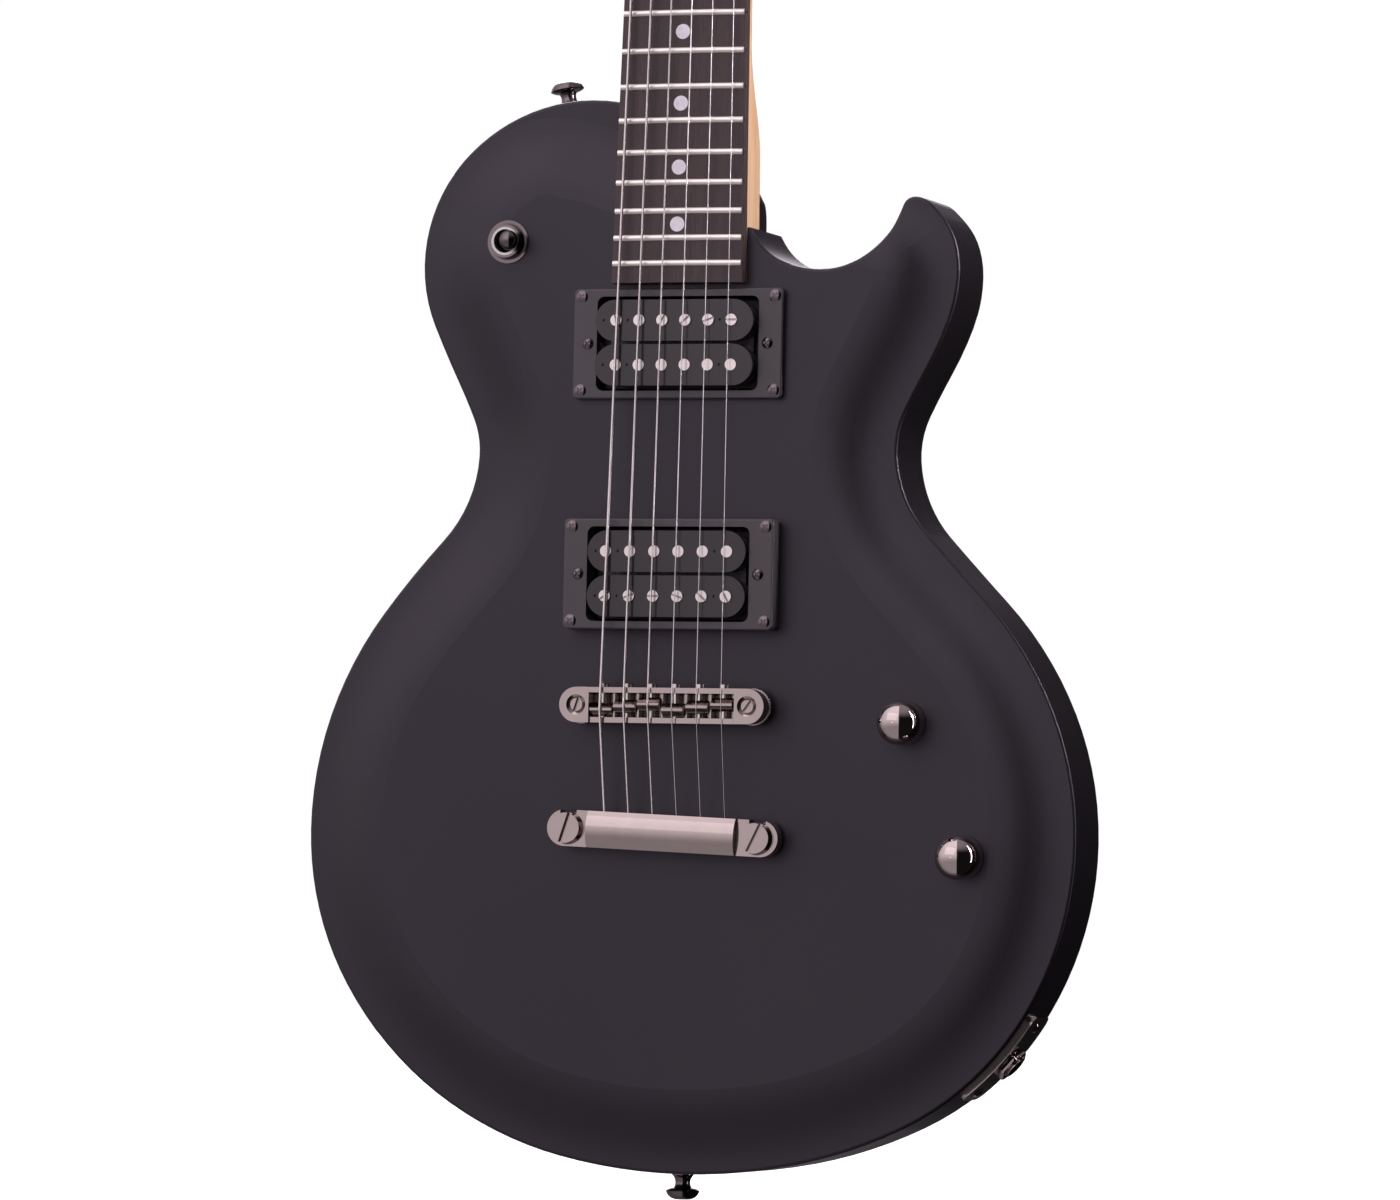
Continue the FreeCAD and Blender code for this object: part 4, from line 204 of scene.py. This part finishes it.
def maple():
    """Clear-lacquered maple with fine pores; the headstock's face is black."""
    shader = Shader("maple", (0.72, 0.47, 0.24), 0.36, Coat_Weight=0.35, Coat_Roughness=0.25)
    grain = shader.noise(1, 6, 0.62, shader.stretched((130, 130, 7)), 0.6)
    base = shader.ramp(grain, [(0.25, (0.62, 0.37, 0.18)), (0.5, (0.76, 0.51, 0.28)),
                               (0.75, (0.84, 0.61, 0.37))])
    fleck = shader.noise(1, 3, 0.6, shader.stretched((900, 900, 60)))
    flecks = shader.ramp(fleck, [(0.36, 0.72), (0.46, 1.0)])
    wood = shader.mixed(0.35, base, flecks, "MULTIPLY")
    shader.color(shader.mixed(shader.head_face(), wood, (0.007, 0.006, 0.007)))
    shader.roughness(shader.level(grain, 0.32, 0.44))
    shader.bump(fleck, 0.02 * MM, 0.3)
    return shader.material


def rosewood():
    """Oiled rosewood: dark streaks and open pores that run along the neck."""
    shader = Shader("rosewood", (0.060, 0.034, 0.027), 0.5)
    streak = shader.noise(1, 7, 0.65, shader.stretched((150, 150, 6)), 0.8)
    base = shader.ramp(streak, [(0.25, (0.022, 0.012, 0.012)), (0.5, (0.046, 0.027, 0.026)),
                                (0.78, (0.080, 0.046, 0.038))])
    pore = shader.noise(1, 2, 0.5, shader.stretched((1700, 1700, 110)))
    pores = shader.ramp(pore, [(0.34, 0.25), (0.42, 1.0)])
    shader.color(shader.mixed(0.45, base, pores, "MULTIPLY"))
    shader.roughness(shader.level(streak, 0.46, 0.60))
    shader.bump(pores, 0.05 * MM, 0.5)
    return shader.material


def plated(name, color, roughness, smudge=0.06):
    """Polished plating with faint wipe marks, uneven gloss and painted shade in its recesses."""
    shader = Shader(name, color, roughness, metallic=1.0)
    reach = 1.2 * MM
    haze = shader.noise(90, 5, 0.6)
    dark = tuple(channel * 0.82 for channel in color)
    # painted shade: the colour darkens where ambient occlusion finds slots, recesses and corners
    painted_recess_shade = shader.ramp(shader.open_sky(reach), [(0.35, 0.06), (0.85, 1.0)])
    shader.color(shader.mixed(1.0, shader.mixed(haze, dark, color), painted_recess_shade, "MULTIPLY"))
    shader.roughness(shader.level(shader.noise(260, 4, 0.6, warp=0.4),
                                  roughness, roughness + smudge))
    return shader.material


def black_nickel():
    """The smoky plating of the bridge, tailpiece and tuners."""
    return plated("black_nickel", (0.43, 0.375, 0.345), 0.10)


def dark_plating():
    """The switch, strap buttons and pickup screws: the same plating, darker."""
    return plated("dark_plating", (0.16, 0.138, 0.135), 0.12)


def knob_plating():
    """The knobs' domes, polished more than the rest."""
    return plated("knob_plating", (0.50, 0.44, 0.41), 0.045, smudge=0.03)


def pole_nickel():
    """Bright nickel on the pickups' poles."""
    return plated("pole_nickel", (0.68, 0.64, 0.60), 0.22)


def fret_wire():
    """Worn nickel silver."""
    return plated("fret_wire", (0.84, 0.80, 0.73), 0.34)


def brushed(name, color, roughness, stretch):
    """Drawn or rolled metal with fine lines along one axis."""
    shader = Shader(name, color, roughness, metallic=1.0)
    lines = shader.noise(1, 4, 0.7, shader.stretched(stretch))
    shader.color(shader.mixed(lines, tuple(channel * 0.7 for channel in color), color))
    shader.roughness(shader.level(lines, roughness - 0.08, roughness + 0.1))
    shader.bump(lines, 0.01 * MM, 0.4)
    return shader.material


def string_winding():
    """Wound strings: fine ribs across the string, nickel grey, with painted shade between the
    ribs.
    """
    shader = Shader("string_nickel", (0.85, 0.80, 0.76), 0.36, metallic=0.8)
    wave = shader.node("ShaderNodeTexWave", bands_direction="Z", Scale=700.0,
                       wave_profile="SIN", Distortion=0.4)
    shader.link(shader.coordinates, wave.inputs["Vector"])
    rib = wave.outputs["Fac"]
    # painted shade: the colour darkens in the grooves between the ribs, where the bump dips
    shader.color(shader.ramp(rib, [(0.0, (0.45, 0.42, 0.40)), (0.4, (0.90, 0.85, 0.81))]))
    shader.bump(rib, 0.08 * MM, 0.8)
    return shader.material


def molded_plastic(name, color, roughness, grain=0.02 * MM):
    """Moulded plastic with a fine even texture of the given depth."""
    shader = Shader(name, color, roughness)
    tone = shader.noise(35, 3)
    shader.color(shader.mixed(tone, tuple(channel * 0.8 for channel in color), color))
    shader.roughness(shader.level(shader.noise(180, 4), roughness - 0.05, roughness + 0.07))
    shader.bump(shader.noise(1500, 2), grain, 0.3)
    return shader.material


def pearl():
    """Milky dots with soft cloudy bands."""
    shader = Shader("dot_plastic", (0.90, 0.86, 0.90), 0.25)
    band = shader.noise(240, 4, 0.6, warp=1.5)
    shader.color(shader.ramp(band, [(0.3, (0.78, 0.75, 0.79)), (0.6, (0.93, 0.90, 0.94))]))
    shader.roughness(shader.level(band, 0.18, 0.3))
    return shader.material


def bone():
    """The nut's pale cream plastic."""
    shader = Shader("nut_plastic", (0.80, 0.74, 0.61), 0.38)
    tone = shader.noise(160, 4, 0.6)
    shader.color(shader.ramp(tone, [(0.3, (0.66, 0.59, 0.45)), (0.7, (0.82, 0.77, 0.65))]))
    shader.roughness(shader.level(tone, 0.3, 0.45))
    return shader.material


def coil_wire():
    """Fine enamelled wire wound in even layers, with painted shade in the grooves between them.
    """
    shader = Shader("copper_coil", (0.30, 0.10, 0.04), 0.4, metallic=0.6)
    layer = shader.node("ShaderNodeTexWave", bands_direction="Y", Scale=2600.0, Distortion=0.6)
    shader.link(shader.coordinates, layer.inputs["Vector"])
    # painted shade: the colour darkens in the grooves of the wave, where the bump dips
    shader.color(shader.ramp(layer.outputs["Fac"], [(0.1, (0.12, 0.04, 0.02)),
                                                    (0.6, (0.36, 0.12, 0.05))]))
    shader.bump(layer.outputs["Fac"], 0.03 * MM, 0.6)
    return shader.material


def resin():
    """The capacitor's glossy orange shell."""
    shader = Shader("capacitor_resin", (0.42, 0.13, 0.03), 0.25)
    tone = shader.noise(300, 3)
    shader.color(shader.ramp(tone, [(0.3, (0.33, 0.09, 0.02)), (0.7, (0.50, 0.17, 0.04))]))
    shader.roughness(shader.level(tone, 0.2, 0.34))
    return shader.material


def dark_magnet():
    """Cast magnet bars with a speckled dark skin."""
    shader = Shader("magnet", (0.11, 0.11, 0.115), 0.6, metallic=0.7)
    speck = shader.noise(700, 4, 0.7)
    shader.color(shader.ramp(speck, [(0.35, (0.07, 0.07, 0.075)), (0.65, (0.17, 0.17, 0.175))]))
    shader.bump(speck, 0.04 * MM, 0.5)
    return shader.material


def black_plastic():
    return molded_plastic("black_plastic", (0.056, 0.050, 0.054), 0.38)


def bobbin_plastic():
    return molded_plastic("bobbin_plastic", (0.021, 0.016, 0.018), 0.16, grain=0.005 * MM)


def wire_insulation():
    return molded_plastic("wire_insulation", (0.06, 0.06, 0.06), 0.5)


def rod_steel():
    return brushed("rod_steel", (0.36, 0.36, 0.37), 0.45, (900, 900, 20))


def string_steel():
    return brushed("string_steel", (0.92, 0.90, 0.88), 0.34, (900, 900, 12))


def spring_steel():
    return brushed("spring_steel", (0.55, 0.55, 0.55), 0.35, (500, 90, 500))


def pot_steel():
    return brushed("pot_steel", (0.55, 0.55, 0.53), 0.38, (300, 300, 300))


def baseplate_metal():
    return brushed("baseplate_metal", (0.045, 0.042, 0.040), 0.5, (40, 400, 400))


def bushing_metal():
    return brushed("bushing_metal", (0.30, 0.28, 0.27), 0.35, (300, 60, 300))


MATERIALS = {
    "black_lacquer": black_lacquer, "maple": maple, "rosewood": rosewood,
    "black_nickel": black_nickel, "pole_nickel": pole_nickel, "fret_wire": fret_wire,
    "dot_plastic": pearl, "nut_plastic": bone, "string_nickel": string_winding,
    "copper_coil": coil_wire, "capacitor_resin": resin, "magnet": dark_magnet,
    "rod_steel": rod_steel, "string_steel": string_steel, "spring_steel": spring_steel,
    "pot_steel": pot_steel, "baseplate_metal": baseplate_metal,
    "bushing_metal": bushing_metal, "black_plastic": black_plastic,
    "bobbin_plastic": bobbin_plastic, "wire_insulation": wire_insulation,
}
made_materials = {}


def material(slot):
    """A slot's material, made the first time it is asked for."""
    if slot not in made_materials:
        made_materials[slot] = MATERIALS[slot]()
    return made_materials[slot]


def dress_frame():
    """Give every CAD node its finish: a special one for a few, its slot's for the rest."""
    special = dict.fromkeys(("switch_nut", "switch_lever", "pickup_ring_screws",
                             "pickup_height_screws", "strap_buttons"), dark_plating())
    special |= dict.fromkeys(("volume_knob", "tone_knob"), knob_plating())
    special["intonation_screws"] = material("pole_nickel")
    for entry in frame["record"]["subparts"]:
        thing = NODES[entry["node"]]
        thing.data.materials.clear()
        chosen = special.get(entry["node"]) or material(entry["material_slot"])
        thing.data.materials.append(chosen)


# ---------------------------------------------------------------- pieces


def piece(name, points, faces, slot, smooth=True):
    """A mesh from points in metres and faces, with a slot's finish, that rides on the guitar."""
    mesh = bpy.data.meshes.new(name)
    mesh.from_pydata([tuple(point) for point in points], [], faces)
    mesh.validate()
    made = bmesh.new()
    made.from_mesh(mesh)
    bmesh.ops.recalc_face_normals(made, faces=made.faces)
    made.to_mesh(mesh)
    made.free()
    if smooth:
        mesh.shade_smooth()
    mesh.materials.append(material(slot))
    thing = bpy.data.objects.new(name, mesh)
    bpy.context.collection.objects.link(thing)
    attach(thing, ROOT)


def axes_round(direction):
    """A direction that isn't upright as a unit vector, and two unit vectors square to it."""
    along = Vector(direction).normalized()
    aside = along.cross(Vector((0, 0, 1))).normalized()
    return along, aside, along.cross(aside)


def skin(rows, corners, closed=True):
    """Faces between rows of points, where each row is a loop of the same number of corners."""
    faces = []
    for row in range(rows if closed else rows - 1):
        here, there = row * corners, (row + 1) % rows * corners
        for corner in range(corners):
            near = (corner + 1) % corners
            faces.append((here + corner, here + near, there + near, there + corner))
    return faces


def ringed(name, centre, direction, section, radius_at, slot, steps):
    """A ring round a direction.

    Each point of its section is (out, along); radius_at turns out and the angle to a radius.
    """
    along, aside, across = axes_round(direction)
    points = []
    for step in range(steps):
        angle = 2 * math.pi * step / steps
        outward = aside * math.cos(angle) + across * math.sin(angle)
        for out, height in section:
            points.append(centre + outward * radius_at(out, angle) + along * height)
    piece(name, points, skin(steps, len(section)), slot)


def post_centres(node):
    """The two centres of a node made of a pair of round pieces, one at each end in X."""
    low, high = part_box(node)
    radius = (high.z - low.z) / 2
    middle = (high.z + low.z) / 2
    return [Vector((x, 0, middle)) for x in (low.x + radius, high.x - radius)], radius


def make_wheel_knurls():
    """The thumbwheels' toothed rims."""
    centres, radius = post_centres("bridge_thumbwheels")
    front, back = (corner.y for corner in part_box("bridge_thumbwheels"))
    teeth, steps_per_tooth = 44, 6
    tall, lip, root, tooth = back - front, 0.25 * MM, 0.3 * MM, 0.42 * MM
    section = [(0, lip), (1, lip), (1, tall - lip), (0, tall - lip)]

    def rim(out, angle):
        wave = 0.5 + 0.5 * math.cos(teeth * angle)
        return radius - root + out * (root + tooth * wave)

    for side, centre in zip(("bass", "treble"), centres):
        centre.y = front
        ringed(f"thumbwheel_knurl_{side}", centre, (0, 1, 0), section, rim, "black_nickel",
               teeth * steps_per_tooth)


def thread(name, centre, radius, front, back, pitch, depth):
    """A screw thread's ridge round a post that runs along Y, tapered out at its ends.

    The ridge's section is given as (out, along), in shares of the depth and the pitch.
    """
    steps_per_turn = 36
    steps = int((back - front - pitch) / pitch * steps_per_turn)
    ridge = ((-0.4, -0.42), (0, -0.36), (1, -0.04), (1, 0.04), (0, 0.36), (-0.4, 0.42))
    points = []
    for step in range(steps + 1):
        angle = 2 * math.pi * step / steps_per_turn
        run_out = min(1.0, step / steps_per_turn, (steps - step) / steps_per_turn)
        outward = Vector((math.cos(angle), 0, math.sin(angle)))
        y = front + pitch / 2 + pitch * step / steps_per_turn
        for out, shift in ridge:
            reach = radius + out * depth * run_out
            points.append(Vector((centre.x, y + shift * pitch, centre.z)) + outward * reach)
    ends = [tuple(range(len(ridge))), tuple(range(len(points) - len(ridge), len(points)))]
    faces = skin(steps + 1, len(ridge), closed=False) + ends
    piece(name, points, faces, "black_nickel", smooth=False)


def make_threads():
    """The threads that show on the bridge's posts between the thumbwheels and the body."""
    pitch, depth = 0.9 * MM, 0.34 * MM
    centres, radius = post_centres("bridge_posts")
    wheel_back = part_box("bridge_thumbwheels")[1].y
    sleeve_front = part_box("stud_bushings")[0].y
    for side, centre in zip(("bass", "treble"), centres):
        thread(f"bridge_post_thread_{side}", centre, radius, wheel_back, sleeve_front,
               pitch, depth)


def make_jack_hexagon():
    """The jack's six-sided nut round its threaded barrel, with the corners rounded off."""
    mount = [mount for mount in frame["record"]["mounts"] if mount["name"] == "output_jack"][0]
    outward = Vector(mount["axis"]).normalized()
    middle = Vector(mount["pos_m"])
    jack = NODES["output_jack"].data.vertices
    tip = max((vertex.co - middle).dot(outward) for vertex in jack)
    barrel_radius, flat_radius, corner_radius = 4.75 * MM, 6.75 * MM, 7.55 * MM
    top, low, bevel = tip - 0.65 * MM, tip - 3.3 * MM, 0.45 * MM

    def six_sided(out, angle):
        turn = (angle + math.pi / 6) % (math.pi / 3) - math.pi / 6
        hexagon = min(flat_radius / math.cos(turn), corner_radius)
        return barrel_radius + out * (hexagon - barrel_radius)

    section = [(0, low), (1, low), (1, top - bevel), (0.8, top), (0, top)]
    ringed("jack_hexagon", middle, outward, section, six_sided, "black_nickel", 180)


def board_edge(z):
    """The bass edge of the fretboard at a height: its X, and the middle of its depth."""
    end_length, edge_width = 6 * MM, 0.3 * MM
    points = [vertex.co for vertex in NODES["fretboard"].data.vertices if vertex.co.x < 0]
    ends = []
    for height in (min(point.z for point in points), max(point.z for point in points)):
        row = [point for point in points if abs(point.z - height) < end_length]
        outer = min(point.x for point in row)
        side = [point for point in row if point.x < outer + edge_width]
        ends.append((height, outer, sum(point.y for point in side) / len(side)))
    (low, x_low, y_low), (high, x_high, y_high) = ends
    share = (z - low) / (high - low)
    return Vector((x_low + share * (x_high - x_low), y_low + share * (y_high - y_low), z))


def make_side_dots():
    """Small position dots in the bass edge of the fretboard, slightly domed."""
    scale = 628.65 * MM
    nut = scale - HANGER_HEIGHT
    radius, dome, sink, pair_half = 1.15 * MM, 0.14 * MM, 0.02 * MM, 4 * MM
    steps, rings = 24, (0.35, 0.7, 1.0)
    places = [(fret, 0.0) for fret in (3, 5, 7, 9, 15, 17, 19, 21)]
    places += [(12, -pair_half), (12, pair_half)]
    points, faces = [], []
    for fret, shift in places:
        behind, ahead = (scale * (1 - 2 ** (-count / 12)) for count in (fret - 1, fret))
        centre = board_edge(nut - (behind + ahead) / 2 + shift)
        first = len(points)
        points.append(centre - Vector((dome, 0, 0)))
        for ring in rings:
            bulge = dome * (1 - ring ** 2)
            for step in range(steps):
                angle = 2 * math.pi * step / steps
                points.append(centre + Vector((sink - bulge, ring * radius * math.cos(angle),
                                               ring * radius * math.sin(angle))))
        for step in range(steps):
            near = (step + 1) % steps
            faces.append((first, first + 1 + step, first + 1 + near))
            for ring in range(len(rings) - 1):
                here = first + 1 + ring * steps
                faces.append((here + step, here + steps + step, here + steps + near,
                              here + near))
    piece("side_dots", points, faces, "dot_plastic")


def coil_boxes():
    """The low and high corners of each pickup coil, from the lowest coil up."""
    gap = 3.2 * MM
    points = sorted((vertex.co for vertex in NODES["pickup_coils"].data.vertices),
                    key=lambda point: point.z)
    groups = [[points[0]]]
    for before, point in zip(points, points[1:]):
        if point.z - before.z > gap:
            groups.append([])
        groups[-1].append(point)
    return [[Vector(pick(point[axis] for point in group) for axis in range(3))
             for pick in (min, max)] for group in groups]


def make_coil_tape():
    """Black tape wound once round each coil, with its end lapped on the long side."""
    thick, edge, buried = 0.16 * MM, 0.15 * MM, -0.6
    lap = [(4.0, 1), (3.9, 2), (-7.0, 2), (-7.1, 1)]         # X in mm, and layers of tape
    for number, (low, high) in enumerate(coil_boxes(), start=1):
        radius, middle = (high.z - low.z) / 2, (high.z + low.z) / 2
        reach = high.x - radius
        path = [(reach, angle, 1) for angle in range(-90, 91, 10)]
        path += [(x * MM, 90, layers) for x, layers in lap]
        path += [(-reach, angle, 1) for angle in range(90, 271, 10)]
        section = ((buried, low.y + edge), (1, low.y + edge), (1, high.y - edge),
                   (buried, high.y - edge))
        points = []
        for centre, angle, layers in path:
            turn = math.radians(angle)
            for out, y in section:
                wide = radius + max(out, out * layers) * thick
                points.append(Vector((centre + wide * math.cos(turn), y,
                                      middle + wide * math.sin(turn))))
        piece(f"coil_tape_{number}", points, skin(len(path), len(section)), "black_plastic",
              smooth=False)


# ---------------------------------------------------------------- stage


LIGHT_TINT = (1.0, 0.89, 0.99)
KEY_EDGE = 14                # bearing of the soft front's sharp right edge, in degrees
KEY_LEVEL, ROOM_LEVEL, BACKDROP_LEVEL = 1.2, 0.012, 1.02


def set_stage():
    """A pale floor under the hanging guitar, and a white studio with little light of its own."""
    floor_size, floor_drop = 40.0, 0.30
    bpy.ops.mesh.primitive_plane_add(size=floor_size, location=(0, 0, cad_low.z - floor_drop))
    floor = bpy.context.object
    floor.name = "floor"
    shader = Shader("floor", (0.9, 0.9, 0.9), 0.8, Emission_Strength=0.9)
    shader.set("Emission Color", (1, 1, 1, 1))
    shader.color(shader.ramp(shader.noise(2), [(0.3, 0.86), (0.7, 0.92)]))
    floor.data.materials.append(shader.material)
    floor.visible_diffuse = floor.visible_glossy = False
    scene = bpy.context.scene
    scene.view_settings.view_transform = "Standard"
    scene.world = studio_world()


class World:
    """Node arithmetic on a direction of the sky, for the studio's light."""

    def __init__(self, name):
        self.world = bpy.data.worlds.new(name)
        self.world.use_nodes = True
        self.tree = self.world.node_tree
        way = self.tree.nodes.new("ShaderNodeTexCoord").outputs["Generated"]
        parts = self.tree.nodes.new("ShaderNodeSeparateXYZ")
        self.tree.links.new(way, parts.inputs[0])
        self.x, self.y, self.z = parts.outputs

    def math(self, kind, one, two):
        """A sum or product of two numbers or node outputs."""
        made = self.tree.nodes.new("ShaderNodeMath")
        made.operation = kind
        for socket, value in zip(made.inputs, (one, two)):
            if isinstance(value, (int, float)):
                socket.default_value = value
            else:
                self.tree.links.new(value, socket)
        return made.outputs[0]

    def rise(self, value, start, end, low=0.0, high=1.0):
        """A smooth step from low to high as the value goes from start to end."""
        made = self.tree.nodes.new("ShaderNodeMapRange")
        made.interpolation_type = "SMOOTHSTEP"
        for name, number in (("From Min", start), ("From Max", end), ("To Min", low),
                             ("To Max", high)):
            made.inputs[name].default_value = number
        self.tree.links.new(value, made.inputs["Value"])
        return made.outputs["Result"]

    def shine(self, strength, color):
        """Light of one colour, with a number or a node's output for its strength."""
        made = self.tree.nodes.new("ShaderNodeBackground")
        made.inputs["Color"].default_value = (*color, 1.0)
        if isinstance(strength, (int, float)):
            made.inputs["Strength"].default_value = strength
        else:
            self.tree.links.new(strength, made.inputs["Strength"])
        return made.outputs["Background"]


def studio_world():
    """White to look at; as a light it is one tall soft front on the left of a dark room."""
    sky = World("studio")
    bearing = sky.math("ARCTAN2", sky.x, sky.math("MULTIPLY", sky.y, -1.0))
    degree = math.radians(1)
    back_left = sky.rise(bearing, -177 * degree, -165 * degree, 0.0, 0.5)
    left = sky.math("ADD", back_left, sky.rise(bearing, -110 * degree, -60 * degree, 0.0, 0.5))
    right = sky.rise(bearing, KEY_EDGE * degree, (KEY_EDGE + 4) * degree, 1.0, 0.0)
    height = sky.rise(sky.z, -0.45, 0.30, 0.40, 1.0)
    front = sky.math("MULTIPLY", sky.math("MULTIPLY", left, right), height)
    above = sky.rise(sky.z, 0.35, 0.95, ROOM_LEVEL, 0.4)
    level = sky.math("ADD", sky.math("MULTIPLY", front, KEY_LEVEL), above)
    seen = sky.tree.nodes.new("ShaderNodeLightPath").outputs["Is Camera Ray"]
    choice = sky.tree.nodes.new("ShaderNodeMixShader")
    link = sky.tree.links.new
    link(seen, choice.inputs["Fac"])
    link(sky.shine(level, LIGHT_TINT), choice.inputs[1])
    link(sky.shine(BACKDROP_LEVEL, (1, 1, 1)), choice.inputs[2])
    link(choice.outputs["Shader"], sky.tree.nodes["World Output"].inputs["Surface"])
    return sky.world


def soft_box(name, bearing, height, distance, width, tall, brightness, aim=-0.62, spread=180):
    """A lamp with a soft rectangular face that looks at a height on the guitar.

    The bearing is in degrees from straight in front, positive towards the treble side, and
    the brightness is that of the lamp's face.
    """
    middle = Vector((0, 0, aim))
    turn = math.radians(bearing)
    place = middle + Vector((math.sin(turn) * distance, -math.cos(turn) * distance, height))
    data = bpy.data.lights.new(name, "AREA")
    data.shape = "RECTANGLE"
    data.size, data.size_y = width, tall
    data.energy = brightness * math.pi * width * tall
    data.color = LIGHT_TINT
    data.spread = math.radians(spread)
    lamp = bpy.data.objects.new(name, data)
    bpy.context.collection.objects.link(lamp)
    lamp.location = place
    lamp.rotation_euler = (middle - place).to_track_quat("-Z", "Y").to_euler()
    lamp.visible_camera = False


def set_lights():
    soft_box("top_box", -20, 0.85, 1.6, 1.9, 1.2, 0.5)
    soft_box("side_strip", 98, 0.5, 2.2, 0.20, 3.0, 7.5)
    soft_box("neck_box", 98, 0.35, 1.3, 0.2, 0.5, 4.6, aim=-0.27, spread=44)
    soft_box("back_box", 200, 2.4, 2.4, 2.0, 2.0, 7.0)


def set_camera():
    """Behind a long lens, a little to the treble side, level with the body."""
    yaw, pitch, roll = -0.3334, -0.0431, 0.0221
    place = Vector((990.5, -2827.9, -90.6)) * MM - Vector((0, 0, HANGER_HEIGHT))
    turn = (Matrix.Rotation(roll, 3, "Y") @ Matrix.Rotation(pitch, 3, "X")
            @ Matrix.Rotation(yaw, 3, "Z"))
    right, forward, up = turn
    data = bpy.data.cameras.new("camera")
    data.lens, data.sensor_width = 187.8, 36
    data.clip_end = 100
    camera = bpy.data.objects.new("camera", data)
    bpy.context.collection.objects.link(camera)
    facing = Matrix((right, up, -forward)).transposed()
    camera.matrix_world = Matrix.Translation(place) @ facing.to_4x4()
    bpy.context.scene.camera = camera


dress_frame()
make_wheel_knurls()
make_threads()
make_jack_hexagon()
make_side_dots()
make_coil_tape()
set_stage()
set_lights()
set_camera()
